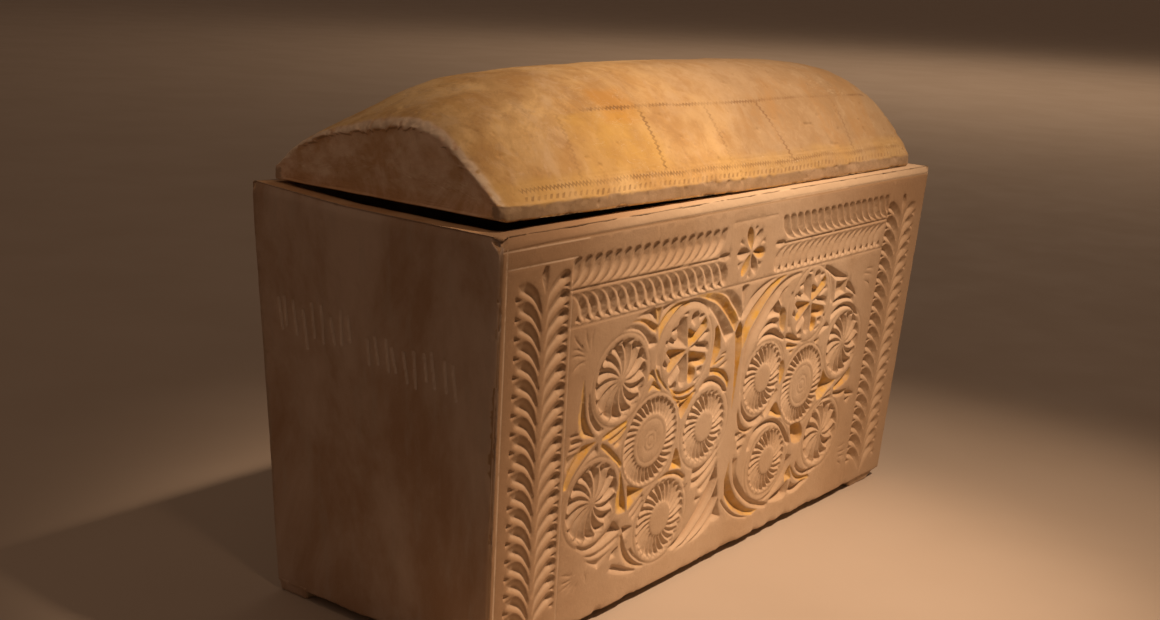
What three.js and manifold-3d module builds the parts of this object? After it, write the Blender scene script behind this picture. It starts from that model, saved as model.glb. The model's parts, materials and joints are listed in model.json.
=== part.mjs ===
// Limestone bone chest with a low vaulted lid.
// Frame: millimetres, +Z up. The origin is on the ground under the middle of the chest,
// +X runs along its length, and the carved front looks towards -Y.
import * as THREE from 'three';
import Module from 'manifold-3d';

const wasm = await Module();
wasm.setup();

// ---------- driving sizes ----------
const LENGTH = 740;            // along X, at the rim
const WIDTH = 280;             // along Y, at the rim
const RIM_Z = 365;             // top of the chest's rim
const FOOT_H = 8;              // height of the feet, and of the gap under the chest
const TAPER_X = 20;            // each end leans in by this much towards the bottom
const TAPER_Y = 15;            // front and back lean in by this much towards the bottom
const WALL = 25;               // wall thickness at the rim
const FLOOR_T = 30;            // thickness of the chest's floor
const EDGE = 3;                // worn edges
const RIM_LIFT = 7;            // the rim's back left corner stands this much higher
const LID_GAP = 0.3;           // free space where the lid lies on the rim

const BODY_H = RIM_Z - FOOT_H;
const HX = LENGTH / 2, HY = WIDTH / 2;
const FACE_LEN = Math.hypot(TAPER_Y, BODY_H);

// ---------- closed bodies ----------
// The triangles may run either way round: a body that comes out inside out is turned.
function solid(verts, tris) {
  const volume = tris.reduce((sum, [i, j, k]) => {
    const a = verts[i], b = verts[j], c = verts[k];
    return sum + a[0] * (b[1] * c[2] - b[2] * c[1]) + a[1] * (b[2] * c[0] - b[0] * c[2]) + a[2] * (b[0] * c[1] - b[1] * c[0]);
  }, 0);
  return new wasm.Manifold(new wasm.Mesh({
    numProp: 3,
    vertProperties: new Float32Array(verts.flat()),
    triVerts: new Uint32Array(tris.flatMap(([i, j, k]) => (volume < 0 ? [i, k, j] : [i, j, k]))),
  }));
}

// A body between rings of equal point counts. Each end is closed by a fan from its first point.
function loft(rings) {
  const n = rings[0].length, verts = rings.flat(), tris = [];
  for (let k = 0; k + 1 < rings.length; k++) {
    for (let i = 0; i < n; i++) {
      const a = k * n + i, b = k * n + (i + 1) % n, c = a + n, d = b + n;
      tris.push([a, b, d], [a, d, c]);
    }
  }
  const top = (rings.length - 1) * n;
  for (let i = 1; i + 1 < n; i++) {
    tris.push([0, i + 1, i], [top, top + i, top + i + 1]);
  }
  return solid(verts, tris);
}

// Rectangle with cut corners, anticlockwise seen from above.
function plate(hx, hy, cut, z, cx = 0, cy = 0) {
  return [
    [-hx + cut, -hy], [hx - cut, -hy], [hx, -hy + cut], [hx, hy - cut],
    [hx - cut, hy], [-hx + cut, hy], [-hx, hy - cut], [-hx, -hy + cut],
  ].map(([x, y]) => [cx + x, cy + y, z]);
}

// ---------- the carved front ----------
// A point of the front face: u runs along the length from the left end of the rim, t runs down
// the face from the rim, h stands off the stone.
function face(u, t, h) {
  const s = t / FACE_LEN;
  return [
    u - HX,
    -HY + TAPER_Y * s - h * BODY_H / FACE_LEN,
    RIM_Z - BODY_H * s - h * TAPER_Y / FACE_LEN,
  ];
}

const PROUD = 1;               // how far a cutting body stands off the face

// V-shaped cut along a path, pointed at both ends.
// Stations: [u, t, width on the left of the path, width on its right, depth].
function vcut(start, stations, end) {
  const verts = [face(start[0], start[1], PROUD)];
  stations.forEach(([u, t, wl, wr, d], i) => {
    const a = i === 0 ? start : stations[i - 1], b = i + 1 < stations.length ? stations[i + 1] : end;
    const l = Math.hypot(b[0] - a[0], b[1] - a[1]);
    const nx = (b[1] - a[1]) / l, nt = -(b[0] - a[0]) / l, k = 1 + PROUD / d;
    verts.push(
      face(u + nx * wl * k, t + nt * wl * k, PROUD),
      face(u, t, -d),
      face(u - nx * wr * k, t - nt * wr * k, PROUD));
  });
  verts.push(face(end[0], end[1], PROUD));
  const tris = [[0, 2, 1], [0, 3, 2], [0, 1, 3]];
  for (let i = 0; i + 1 < stations.length; i++) {
    const p = 1 + 3 * i, q = p + 3;
    for (const [m, n] of [[0, 1], [1, 2], [2, 0]]) tris.push([p + m, p + n, q + n], [p + m, q + n, q + m]);
  }
  const p = 1 + 3 * (stations.length - 1), e = verts.length - 1;
  tris.push([e, p, p + 1], [e, p + 1, p + 2], [e, p + 2, p]);
  return solid(verts, tris);
}

// Three-sided chip: a triangular pit with its lowest point at the middle.
function chip(a, b, c, d) {
  const m = [(a[0] + b[0] + c[0]) / 3, (a[1] + b[1] + c[1]) / 3], k = 1 + PROUD / d;
  const out = [a, b, c].map(p => face(m[0] + (p[0] - m[0]) * k, m[1] + (p[1] - m[1]) * k, PROUD));
  return solid([...out, face(m[0], m[1], -d)], [[0, 2, 1], [0, 1, 3], [1, 2, 3], [2, 0, 3]]);
}

// V-shaped ring around a point of the face.
function ring(u, t, r, w, d, n) {
  const verts = [], tris = [], k = 1 + PROUD / d;
  for (let i = 0; i < n; i++) {
    const a = 2 * Math.PI * i / n;
    for (const [q, h] of [[r - w * k, PROUD], [r, -d], [r + w * k, PROUD]]) {
      verts.push(face(u + q * Math.cos(a), t + q * Math.sin(a), h));
    }
  }
  for (let i = 0; i < n; i++) {
    const p = 3 * i, q = 3 * ((i + 1) % n);
    for (const [m, e] of [[0, 1], [1, 2], [2, 0]]) tris.push([p + m, p + e, q + e], [p + m, q + e, q + m]);
  }
  return solid(verts, tris);
}

const DEG = Math.PI / 180;
const cuts = [];
const cut = body => cuts.push(body);

// Crescent: an arc-shaped cut that swells in its middle.
function crescent(u, t, r, from, to, w, d, n = 5) {
  const at = a => [u + r * Math.cos(a * DEG), t + r * Math.sin(a * DEG)];
  const st = [];
  for (let i = 1; i <= n; i++) {
    const f = i / (n + 1), s = Math.sin(Math.PI * f) ** 0.7;
    st.push([...at(from + (to - from) * f), w * s, w * s, d * s]);
  }
  cut(vcut(at(from), st, at(to)));
}

// A path cut through given points, swelling towards its middle.
function channel(points, w, d) {
  const n = points.length - 1;
  cut(vcut(points[0], points.slice(1, -1).map(([u, t], i) => {
    const s = Math.sin(Math.PI * (i + 1) / n) ** 0.7;
    return [u, t, w * s, w * s, d * s];
  }), points[n]));
}

// Rosette of petals between two radii. twist turns the petals' outer ends, in degrees.
function rosette(u, t, r0, r1, n, twist, d, turn = 0, fill = 0.46) {
  const pitch = 2 * Math.PI / n, mid = 0.68;
  for (let i = 0; i < n; i++) {
    const a0 = pitch * i + turn * DEG, rm = r0 + (r1 - r0) * mid;
    const a1 = a0 + twist * mid * mid * DEG, a2 = a0 + twist * DEG;
    cut(vcut(
      [u + r0 * Math.cos(a0), t + r0 * Math.sin(a0)],
      [[u + rm * Math.cos(a1), t + rm * Math.sin(a1), rm * pitch * fill, rm * pitch * fill, d]],
      [u + r1 * Math.cos(a2), t + r1 * Math.sin(a2)]));
  }
}

// Upright palms at both ends of the front: a plain stem with drooping leaves on both sides.
const LEAF_PITCH = 15.6, LEAVES = 18, LEAF_D = 3.2;
const STEM_TOP = 57.5, LEAN = 0.056;      // the stem leans in with the end of the chest
function palm(mirror) {
  const m = u => (mirror ? LENGTH - 1.5 - u : u);
  for (let i = 0; i < LEAVES; i++) {
    const t0 = 37 + LEAF_PITCH * i, x0 = STEM_TOP + LEAN * (t0 - 37);
    for (const side of [-1, 1]) {
      const p = (dx, dt) => [m(x0 + side * dx), t0 + dt];
      const flip = (side < 0) === mirror;
      const w = (a, b) => (flip ? [a, b] : [b, a]);
      cut(vcut(p(1.5, 31), [
        [...p(9, 18.5), ...w(4.5, 4.2), 2.4],
        [...p(22, 8), ...w(5.4, 4.6), LEAF_D],
      ], p(33.5, side < 0 ? 5.5 : 1)));
    }
  }
  cut(vcut([m(STEM_TOP - 0.5), 27], [[m(STEM_TOP), 38, 4.2, 4.2, 2.6]], [m(STEM_TOP + 1), 54]));
}
palm(false);
palm(true);

// Two fronds lying along the top, their buds meeting at the small rosette.
const FROND_PITCH = 12.6, FROND_LEAVES = 18;
function frond(from, dir) {
  for (let i = 0; i < FROND_LEAVES; i++) {
    const x = from + dir * FROND_PITCH * i;
    for (const side of [-1, 1]) {
      const p = (dx, dt) => [x + dir * dx, 52.5 + side * dt];
      const w = (a, b) => ((side < 0) === (dir > 0) ? [a, b] : [b, a]);
      cut(vcut(p(0, 1.5), [
        [...p(10, 9), ...w(4.2, 3.6), 2.2],
        [...p(16.5, 18), ...w(4.4, 4.2), 2.8],
      ], p(side < 0 ? 22.5 : 18.5, side < 0 ? 27.5 : 26)));
    }
  }
}
frond(92, 1);
frond(645, -1);
cut(vcut([310, 52], [[320, 52.5, 3, 3, 2]], [329, 52.5]));
cut(vcut([402, 52.5], [[411, 52.5, 3, 3, 2]], [421, 52]));

// Small six-leaved rosette between the buds.
rosette(364.5, 54, 1.5, 26.5, 6, 0, 3.6, 0, 0.4);

// Thin border lines below the rim, beside the palms and under the fronds.
const LINE_D = 0.8, LINE_W = 0.8;
const line = (u0, t0, u1, t1) => cut(vcut([u0, t0],
  [[u0 + (u1 - u0) * 0.02, t0 + (t1 - t0) * 0.02, LINE_W, LINE_W, LINE_D],
   [u0 + (u1 - u0) * 0.98, t0 + (t1 - t0) * 0.98, LINE_W, LINE_W, LINE_D]], [u1, t1]));
line(8, 9.5, 732, 9.5);
line(326, 83.5, 404, 83.5);

// Two large roundels, each with a rosette in the middle and five around it.
// [u, t, inner radius, outer radius, petals, twist]
const RING_R = 40, RING_W = 1.5, RING_D = 2.4;
const roundels = [
  { centre: [227.1, 210.5], petals: 32, rosettes: [
    [172.7, 142.5, 3, 36, 14, -18], [271.8, 134.1, 2, 37.5, 6, 0], [146.5, 247.9, 3, 35.5, 14, -18],
    [315.4, 217, 16, 34.5, 24, -6], [256.1, 292.3, 17, 37, 24, -6]] },
  { centre: [500, 211], petals: 32, rosettes: [
    [496.2, 125, 2, 36, 6, 0], [416.5, 187.5, 15, 34, 24, -6], [445.4, 281.4, 15, 33, 24, -6],
    [581.5, 180.3, 3, 34.5, 14, -18], [556.7, 276.5, 3, 34.5, 14, -18]] },
];
for (const { centre: [cu, ct], petals, rosettes } of roundels) {
  rosette(cu, ct, 26, 41, petals, -5, 2.8, 0, 0.44);
  for (const [u, t, r0, r1, n, twist] of rosettes) {
    rosette(u, t, r0, r1, n, twist, n === 6 ? 4 : 3.2, n === 6 ? 10 : 0, n === 6 ? 0.4 : 0.45);
    if (n === 6) {
      for (let i = 0; i < 6; i++) {
        const a = (40 + 60 * i) * DEG, at = (r, s) => [u + r * Math.cos(a + s), t + r * Math.sin(a + s)];
        cut(chip(at(25, 0), at(36, -0.17), at(36, 0.17), 2.2));
      }
    }
    cut(ring(u, t, RING_R, RING_W, RING_D, 22));
    // crescents on the side that looks away from the roundel's middle
    const a = Math.atan2(t - ct, u - cu) / DEG;
    crescent(u, t, 46.5, a - 62, a + 62, 3.4, 3);
  }
}
// Wide painted bands that sweep from the roundels into the space between them.
channel([[292, 88.5], [312, 93.5], [330, 104], [344, 118], [354, 132]], 4.2, 3.4);
channel([[328, 88], [342, 92], [353, 102], [360, 117]], 3.4, 2.6);
channel([[432, 88], [408, 94], [390, 106], [376, 122], [370, 138]], 4.4, 3.6);
channel([[452, 88], [424, 97], [402, 112], [388, 132]], 3.4, 2.8);
channel([[350, 268], [336, 292], [312, 314], [284, 327], [258, 332]], 4, 3);
channel([[358, 282], [345, 303], [322, 321], [296, 331]], 3, 2.6);
channel([[368, 280], [382, 303], [404, 322], [432, 332]], 4, 3);
channel([[374, 262], [388, 287], [408, 306], [434, 321]], 3.2, 2.8);
cut(chip([356, 86], [369, 86], [362.5, 112], 2.6));
cut(chip([352, 334], [374, 334], [362, 308], 2.6));

// Little sprigs in the corners of the panel.
for (const [u, t, base] of [[124, 113, 180], [134, 312, 150], [600, 110, 0], [612, 318, 20]]) {
  for (const da of [-36, -12, 12, 36]) {
    const a = (base + da) * DEG, p = r => [u + r * Math.cos(a), t + r * Math.sin(a)];
    cut(vcut(p(4), [[...p(18), 2, 2, 1.6]], p(30)));
  }
}

// ---------- chest ----------
function chestBody() {
  // outline from the bottom of the walls to the rim, with the rim's worn edge
  const at = (z, inset) => {
    const s = (RIM_Z - z) / BODY_H, hx = HX - TAPER_X * s - inset, hy = HY - TAPER_Y * s - inset;
    const p = plate(hx, hy, EDGE, z);
    // extra points along the back and the left end, where the rim rises to its back left corner
    return [p[0], p[1], p[2], p[3], p[4], [-hx + 190, hy, z], p[5], p[6], [-hx, 30, z], p[7]];
  };
  const lift = [0, 0, 0, 0, 0, 0.12, 1, 1, 0.1, 0];
  const raise = (r, k) => r.map(([x, y, z], i) => [x, y, z + RIM_LIFT * lift[i] * k]);
  let body = loft([at(FOOT_H, 0), raise(at(RIM_Z - EDGE, 0), 0.6), raise(at(RIM_Z, EDGE), 0.94)]);

  // the hollow for the bones
  const hollow = (z, extra) => {
    const s = (RIM_Z - z) / BODY_H;
    return plate(HX - WALL - TAPER_X * s - extra, HY - WALL - TAPER_Y * s - extra, 14, z);
  };
  body = body.subtract(loft([hollow(FOOT_H + FLOOR_T, 6), hollow(FOOT_H + FLOOR_T + 14, 0), hollow(RIM_Z + 20, 0)]));

  // four low feet at the corners, one of them broken on its outer side
  const bx = HX - TAPER_X, by = HY - TAPER_Y;
  for (const [sx, sy] of [[-1, -1], [1, -1], [1, 1], [-1, 1]]) {
    const broken = sx > 0 && sy < 0;
    const fx = broken ? bx - 46 : bx - 24, hx = broken ? 20 : 22;
    const low = plate(hx, 17, 3, 0, sx * fx, sy * (by - 20));
    const high = plate(hx + 3, 19.5, 3, FOOT_H + 4, sx * fx, sy * (by - 20));
    if (broken) {
      // a slanting break leads up to the chest's corner
      high[2][0] = bx - 2; high[3][0] = bx - 2;
      high[1][0] = bx - 5; high[4][0] = bx - 5;
    }
    body = body.add(loft([low, high]));
  }

  // a piece is missing from the front left corner of the rim
  const chipped = [
    [-HX - 6, -HY - 6, RIM_Z - 12], [-HX + 16, -HY - 6, RIM_Z + 6], [-HX - 6, -HY + 15, RIM_Z + 6], [-HX - 30, -HY - 30, RIM_Z + 40],
  ];
  body = body.subtract(solid(chipped, [[0, 2, 1], [0, 1, 3], [1, 2, 3], [2, 0, 3]]));
  return body.subtract(wasm.Manifold.union(cuts));
}

// ---------- lid ----------
const LID_X0 = -352, LID_X1 = 346;       // its two ends
const LID_Y0 = -126, LID_Y1 = 134;       // front and back edges
const LID_EDGE = 12;                     // height of its front edge
const CROWN_Z = 477;                     // top of the vault
const LID_WALL = 24, LID_VAULT = 42;     // stone left at the edges and over the hollow
// crown height along the length: [x, z]
const CROWN = [[-352, 440], [-338, 447.5], [-320, 454], [-300, 459], [-250, 468], [-170, 474], [-70, 477], [80, 477],
  [230, 475.5], [280, 472], [310, 468], [330, 463], [346, 457]];
// outline of the worn left end: [share of the width from the front edge, share of the crown's height]
const LEFT_END = [[0, 0], [0.05, 0.17], [0.108, 0.37], [0.204, 0.73], [0.262, 0.89], [0.358, 1], [0.465, 0.96],
  [0.573, 0.875], [0.696, 0.73], [0.8, 0.585], [0.888, 0.4], [0.954, 0.19], [1, 0]];
const WORN_LEN = 95;                     // the worn outline fades into the vault over this length
const underside = x => RIM_Z + LID_GAP + RIM_LIFT * (LID_X1 - x) / (LID_X1 - LID_X0);
const smooth = v => v * v * (3 - 2 * v);

function lidBody() {
  const rings = CROWN.map(([x, crown]) => {
    const low = underside(x), edge = low + LID_EDGE, worn = 1 - smooth(Math.min(1, (x - LID_X0) / WORN_LEN));
    return [[x, LID_Y1, low], [x, LID_Y0, low], ...LEFT_END.map(([f, end]) => {
      const vault = 1 - Math.abs(2 * f - 1) ** 2.4;
      return [x, LID_Y0 + (LID_Y1 - LID_Y0) * f, edge + (crown - edge) * (vault + (end - vault) * worn)];
    })];
  });
  const body = loft(rings);

  // the hollow under the vault
  const inner = [];
  const x0 = LID_X0 + LID_WALL + 8, x1 = LID_X1 - LID_WALL - 8;
  for (const f of [0, 0.1, 0.3, 0.5, 0.7, 0.9, 1]) {
    const x = x0 + (x1 - x0) * f, roof = underside(x) + 14 + (CROWN_Z - LID_VAULT - underside(x) - 14) * smooth(Math.min(1, 4.5 * Math.min(f, 1 - f) + 0.25));
    const ring = [[x, LID_Y1 - LID_WALL, underside(x) - 5], [x, LID_Y0 + LID_WALL, underside(x) - 5]];
    for (const g of [0, 0.12, 0.3, 0.5, 0.7, 0.88, 1]) {
      const v = Math.abs(2 * g - 1);
      ring.push([x, LID_Y0 + LID_WALL + (LID_Y1 - LID_Y0 - 2 * LID_WALL) * g, underside(x) + 8 + (roof - underside(x) - 8) * (1 - v ** 2.4)]);
    }
    inner.push(ring);
  }
  return body.subtract(loft(inner));
}

// ---------- meshes ----------
function mesh(name, body, colour) {
  const m = body.getMesh(), positions = new Float32Array(m.vertProperties.length / m.numProp * 3);
  for (let i = 0; i < positions.length / 3; i++) {
    for (let k = 0; k < 3; k++) positions[3 * i + k] = m.vertProperties[m.numProp * i + k];
  }
  const geometry = new THREE.BufferGeometry();
  geometry.setAttribute('position', new THREE.BufferAttribute(positions, 3));
  geometry.setIndex(new THREE.BufferAttribute(new Uint32Array(m.triVerts), 1));
  geometry.computeVertexNormals();
  const out = new THREE.Mesh(geometry, new THREE.MeshStandardMaterial({ color: colour, roughness: 0.9, metalness: 0 }));
  out.name = name;
  return out;
}

const ossuary = new THREE.Group();
ossuary.add(mesh('chest', chestBody(), 0xc79a6b));
ossuary.add(mesh('lid', lidBody(), 0xc9a063));

export default ossuary;
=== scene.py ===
"""Limestone bone chest with a loose vaulted lid, its carved and painted front, floor, light and camera.

Lengths in this script are millimetres in the row frame until a mesh is made; meshes are in metres.
On the carved front a point is (x, t): x runs from the left end of the rim, t runs down the leaning face.
"""

import math

import bmesh
import bpy
import numpy as np
from mathutils import Matrix, Vector
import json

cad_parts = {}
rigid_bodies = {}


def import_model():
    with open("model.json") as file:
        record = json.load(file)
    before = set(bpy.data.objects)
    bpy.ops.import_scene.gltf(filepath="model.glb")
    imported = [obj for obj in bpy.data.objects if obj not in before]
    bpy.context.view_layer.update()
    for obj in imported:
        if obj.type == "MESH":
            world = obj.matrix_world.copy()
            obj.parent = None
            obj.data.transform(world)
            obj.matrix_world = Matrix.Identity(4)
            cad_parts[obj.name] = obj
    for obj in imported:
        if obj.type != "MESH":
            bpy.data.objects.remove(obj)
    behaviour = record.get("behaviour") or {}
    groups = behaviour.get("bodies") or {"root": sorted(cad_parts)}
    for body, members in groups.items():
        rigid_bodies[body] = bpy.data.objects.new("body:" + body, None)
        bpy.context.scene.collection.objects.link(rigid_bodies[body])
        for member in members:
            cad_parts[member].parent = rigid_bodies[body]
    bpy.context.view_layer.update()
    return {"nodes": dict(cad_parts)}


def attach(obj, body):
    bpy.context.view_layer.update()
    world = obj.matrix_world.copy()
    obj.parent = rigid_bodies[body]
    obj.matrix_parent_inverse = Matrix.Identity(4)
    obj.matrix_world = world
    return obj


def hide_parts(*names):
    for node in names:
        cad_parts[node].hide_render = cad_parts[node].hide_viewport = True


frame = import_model()

# ------------------------------------------------------------------ camera
camera_data = bpy.data.cameras.new("view")
camera_data.lens = 45.547
camera_data.sensor_width = 36.0
camera_data.sensor_fit = "HORIZONTAL"
camera_data.clip_start = 0.05
camera_data.clip_end = 900.0
camera = bpy.data.objects.new("view", camera_data)
bpy.context.scene.collection.objects.link(camera)
right = Vector((0.60993438, -0.79058733, 0.05432986))
down = Vector((-0.14926197, -0.18194569, -0.9719139))
forward = Vector((0.77826789, 0.58469432, -0.22897955))
turn = Matrix((right, -down, -forward)).transposed().to_4x4()
camera.matrix_world = Matrix.Translation((-1.17904, -0.82302, 0.56387)) @ turn
bpy.context.scene.camera = camera
bpy.context.scene.view_settings.view_transform = "Standard"
bpy.context.scene.view_settings.look = "None"

# ------------------------------------------------------------------ sizes
LENGTH, WIDTH, RIM_Z, FOOT_H = 740.0, 280.0, 365.0, 8.0
HX, HY = LENGTH / 2, WIDTH / 2
BODY_H = RIM_Z - FOOT_H
FACE = math.hypot(15.0, BODY_H)
WALL, FLOOR_T = 25.0, 30.0

# ------------------------------------------------------------------ smooth value noise
TABLE = np.random.default_rng(11).random(4096) * 2 - 1


def noise(p, size, seed=0):
    """Smooth noise from -1 to 1 at points p (N, 3), with lumps of about that size."""
    q = np.asarray(p, float) / size + seed * 13.17
    i = np.floor(q).astype(np.int64)
    f = q - i
    f = f * f * (3 - 2 * f)
    out = np.zeros(len(q))
    for dx in (0, 1):
        wx = f[:, 0] if dx else 1 - f[:, 0]
        for dy in (0, 1):
            wy = f[:, 1] if dy else 1 - f[:, 1]
            for dz in (0, 1):
                wz = f[:, 2] if dz else 1 - f[:, 2]
                h = ((i[:, 0] + dx) * 73856093) ^ ((i[:, 1] + dy) * 19349663) ^ ((i[:, 2] + dz) * 83492791)
                out += wx * wy * wz * TABLE[h & 4095]
    return out


def smooth(v):
    v = np.clip(v, 0, 1)
    return v * v * (3 - 2 * v)


# ------------------------------------------------------------------ relief sheets
class Sheet:
    """A height map with paint, over a rectangle. Cuts only ever lower it."""

    def __init__(self, x0, x1, t0, t1, step):
        self.x0, self.t0, self.step = x0, t0, step
        self.x = np.arange(x0, x1 + step, step)
        self.t = np.arange(t0, t1 + step, step)
        self.h = np.zeros((len(self.t), len(self.x)))
        self.ochre = np.zeros_like(self.h)
        self.clip = None

    def window(self, x0, x1, t0, t1):
        j0 = max(0, int((x0 - self.x0) / self.step) - 1)
        j1 = min(len(self.x), int((x1 - self.x0) / self.step) + 3)
        i0 = max(0, int((t0 - self.t0) / self.step) - 1)
        i1 = min(len(self.t), int((t1 - self.t0) / self.step) + 3)
        return i0, max(i0, i1), j0, max(j0, j1)

    def lower(self, where, mask, depth, ochre):
        i0, i1, j0, j1 = where
        if self.clip is not None:
            c = self.clip
            xs, ts = np.meshgrid(self.x[j0:j1], self.t[i0:i1])
            inside = (xs > c[0]) & (xs < c[1]) & (ts > c[2]) & (ts < c[3])
            mask = mask & inside
        h = self.h[i0:i1, j0:j1]
        new = np.where(mask, np.minimum(h, -depth), h)
        self.h[i0:i1, j0:j1] = new
        if ochre:
            o = self.ochre[i0:i1, j0:j1]
            self.ochre[i0:i1, j0:j1] = np.where(mask & (depth > 0.15), np.maximum(o, ochre), o)

    def cut(self, edges, ochre=0.0, cap=7.0, ends=0.8, seen=None):
        """A hollow inside a closed outline. edges is a list of (slope, points); each edge's wall falls at its slope.

        Slopes measured from one side are put right with seen, the sideways shift of a point one unit deep.
        """
        lines = [(k, curve(p)) for k, p in edges]
        joined = []
        for n, (k, line) in enumerate(lines):
            joined.append((k, line))
            first = lines[(n + 1) % len(lines)][1][0]
            if math.hypot(*(line[-1] - first)) > 0.3:
                joined.append((ends, np.array([line[-1], first])))
        loop = np.vstack([line for _, line in joined])
        lo, hi = loop.min(0), loop.max(0)
        where = self.window(lo[0], hi[0], lo[1], hi[1])
        i0, i1, j0, j1 = where
        if i1 <= i0 or j1 <= j0:
            return
        xs, ts = np.meshgrid(self.x[j0:j1], self.t[i0:i1])
        pts = np.column_stack([xs.ravel(), ts.ravel()])
        inside = within(pts, loop)
        depth = np.zeros(len(pts))
        if inside.any():
            q = pts[inside]
            d = np.full(len(q), cap)
            area = 0.5 * np.sum(loop[:, 0] * np.roll(loop[:, 1], -1) - np.roll(loop[:, 0], -1) * loop[:, 1])
            for k, line in joined:
                if seen is None:
                    d = np.minimum(d, k * away(q, line))
                else:
                    way = np.diff(line, axis=0)
                    way = way / np.maximum(np.hypot(way[:, 0], way[:, 1]), 1e-9)[:, None]
                    into = np.column_stack([-way[:, 1], way[:, 0]]) * (1 if area > 0 else -1)
                    run = 1 / k - into @ np.asarray(seen)
                    d = np.minimum(d, away(q, line, 1 / np.clip(run, 0.62, 4.0)))
            depth[inside] = d
        self.lower(where, inside.reshape(xs.shape), depth.reshape(xs.shape), ochre)

    def band(self, upper, lower, ku, kl, ochre=0.0, cap=7.0, ends=0.8, seen=None):
        """A groove between two lines that run the same way."""
        self.cut([(ku, upper), (kl, lower[::-1])], ochre, cap, ends, seen)

    def line(self, points, half, depth, ochre=0.0):
        """A thin V-shaped line."""
        path = np.asarray(points, float)
        lo, hi = path.min(0) - half, path.max(0) + half
        where = self.window(lo[0], hi[0], lo[1], hi[1])
        i0, i1, j0, j1 = where
        if i1 <= i0 or j1 <= j0:
            return
        xs, ts = np.meshgrid(self.x[j0:j1], self.t[i0:i1])
        pts = np.column_stack([xs.ravel(), ts.ravel()])
        d = depth * (1 - away(pts, path) / half)
        self.lower(where, (d > 0).reshape(xs.shape), d.reshape(xs.shape), ochre)

    def arc(self, cx, ct, r0, r1, a0, a1, ki, ko, ochre=0.0, cap=6.0, ends=0.5):
        """A groove along part of a circle, angles in degrees, clockwise from the right."""
        where = self.window(cx - r1, cx + r1, ct - r1, ct + r1)
        i0, i1, j0, j1 = where
        xs, ts = np.meshgrid(self.x[j0:j1], self.t[i0:i1])
        r = np.hypot(xs - cx, ts - ct)
        a = (np.degrees(np.arctan2(ts - ct, xs - cx)) - a0) % 360
        span = (a1 - a0) % 360 or 360
        side = np.minimum(a, span - a) if span < 360 else np.full_like(a, 999.0)
        d = np.minimum(ki * (r - r0), ko * (r1 - r))
        d = np.minimum(d, ends * np.radians(np.maximum(side, 0)) * r)
        d = np.minimum(d, cap)
        self.lower(where, (d > 0) & (a <= span), np.maximum(d, 0), ochre)

    def rosette(self, cx, ct, r0, r1, n, twist=0.0, turn=0.0, ka=0.5, kb=0.9, kend=1.0, kin=0.4, cap=4.0,
                power=1.0, chips=True, wobble=0.0, ochre=0.0):
        """Leaves cut from r0 to r1. twist and turn are in degrees, clockwise."""
        where = self.window(cx - r1 - 3, cx + r1 + 3, ct - r1 - 3, ct + r1 + 3)
        i0, i1, j0, j1 = where
        xs, ts = np.meshgrid(self.x[j0:j1], self.t[i0:i1])
        r = np.hypot(xs - cx, ts - ct)
        a = np.degrees(np.arctan2(ts - ct, xs - cx))
        share = np.clip(r / r1, 0, 1.1) ** power
        phase = (a - turn - twist * share) * n / 360
        cell = np.floor(phase)
        phi = phase - cell
        jig = TABLE[(cell.astype(int) * 97 + int(cx)) & 4095]
        w = 2 * math.pi * np.maximum(r, 0.1) / n
        w1 = 2 * math.pi * r1 / n
        q = 2 * phi - 1
        rend = r1 * (1 + wobble * 0.02 * jig) - 0.42 * w1 * (1 - np.sqrt(np.clip(1 - q * q, 0, 1)))
        d = np.minimum(ka * phi * w, kb * (1 - phi) * w) * (1 + wobble * 0.25 * jig)
        d = np.minimum(d, kend * (rend - r))
        d = np.minimum(d, kin * (r - r0))
        d = np.minimum(d, cap)
        self.lower(where, d > 0, np.maximum(d, 0), ochre)
        if chips:
            for k in range(n):
                a0 = math.radians(turn + twist + 360 / n * k)   # where two leaf ends meet
                s = 0.40 * 2 * math.pi / n
                self.cut([(1.0, [(cx + (r1 - 0.42 * w1) * math.cos(a0), ct + (r1 - 0.42 * w1) * math.sin(a0)),
                                 (cx + (r1 + 1.6) * math.cos(a0 - s), ct + (r1 + 1.6) * math.sin(a0 - s))]),
                          (0.8, [(cx + (r1 + 1.6) * math.cos(a0 - s), ct + (r1 + 1.6) * math.sin(a0 - s)),
                                 (cx + (r1 + 1.6) * math.cos(a0 + s), ct + (r1 + 1.6) * math.sin(a0 + s))]),
                          (1.0, [(cx + (r1 + 1.6) * math.cos(a0 + s), ct + (r1 + 1.6) * math.sin(a0 + s)),
                                 (cx + (r1 - 0.42 * w1) * math.cos(a0), ct + (r1 - 0.42 * w1) * math.sin(a0))])])

    def blur(self, sigma, what="h"):
        s = sigma / self.step
        if s < 0.2:
            return
        n = max(1, int(3 * s))
        k = np.exp(-0.5 * (np.arange(-n, n + 1) / s) ** 2)
        k /= k.sum()
        a = getattr(self, what)
        for axis in (0, 1):
            a = np.apply_along_axis(lambda v: np.convolve(np.pad(v, n, mode="edge"), k, "valid"), axis, a)
        setattr(self, what, a)

    def at(self, x, t, what="h"):
        a = getattr(self, what)
        u = np.clip((x - self.x0) / self.step, 0, a.shape[1] - 1.001)
        v = np.clip((t - self.t0) / self.step, 0, a.shape[0] - 1.001)
        j, i = u.astype(int), v.astype(int)
        fu, fv = u - j, v - i
        return ((a[i, j] * (1 - fu) + a[i, j + 1] * fu) * (1 - fv)
                + (a[i + 1, j] * (1 - fu) + a[i + 1, j + 1] * fu) * fv)


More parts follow.
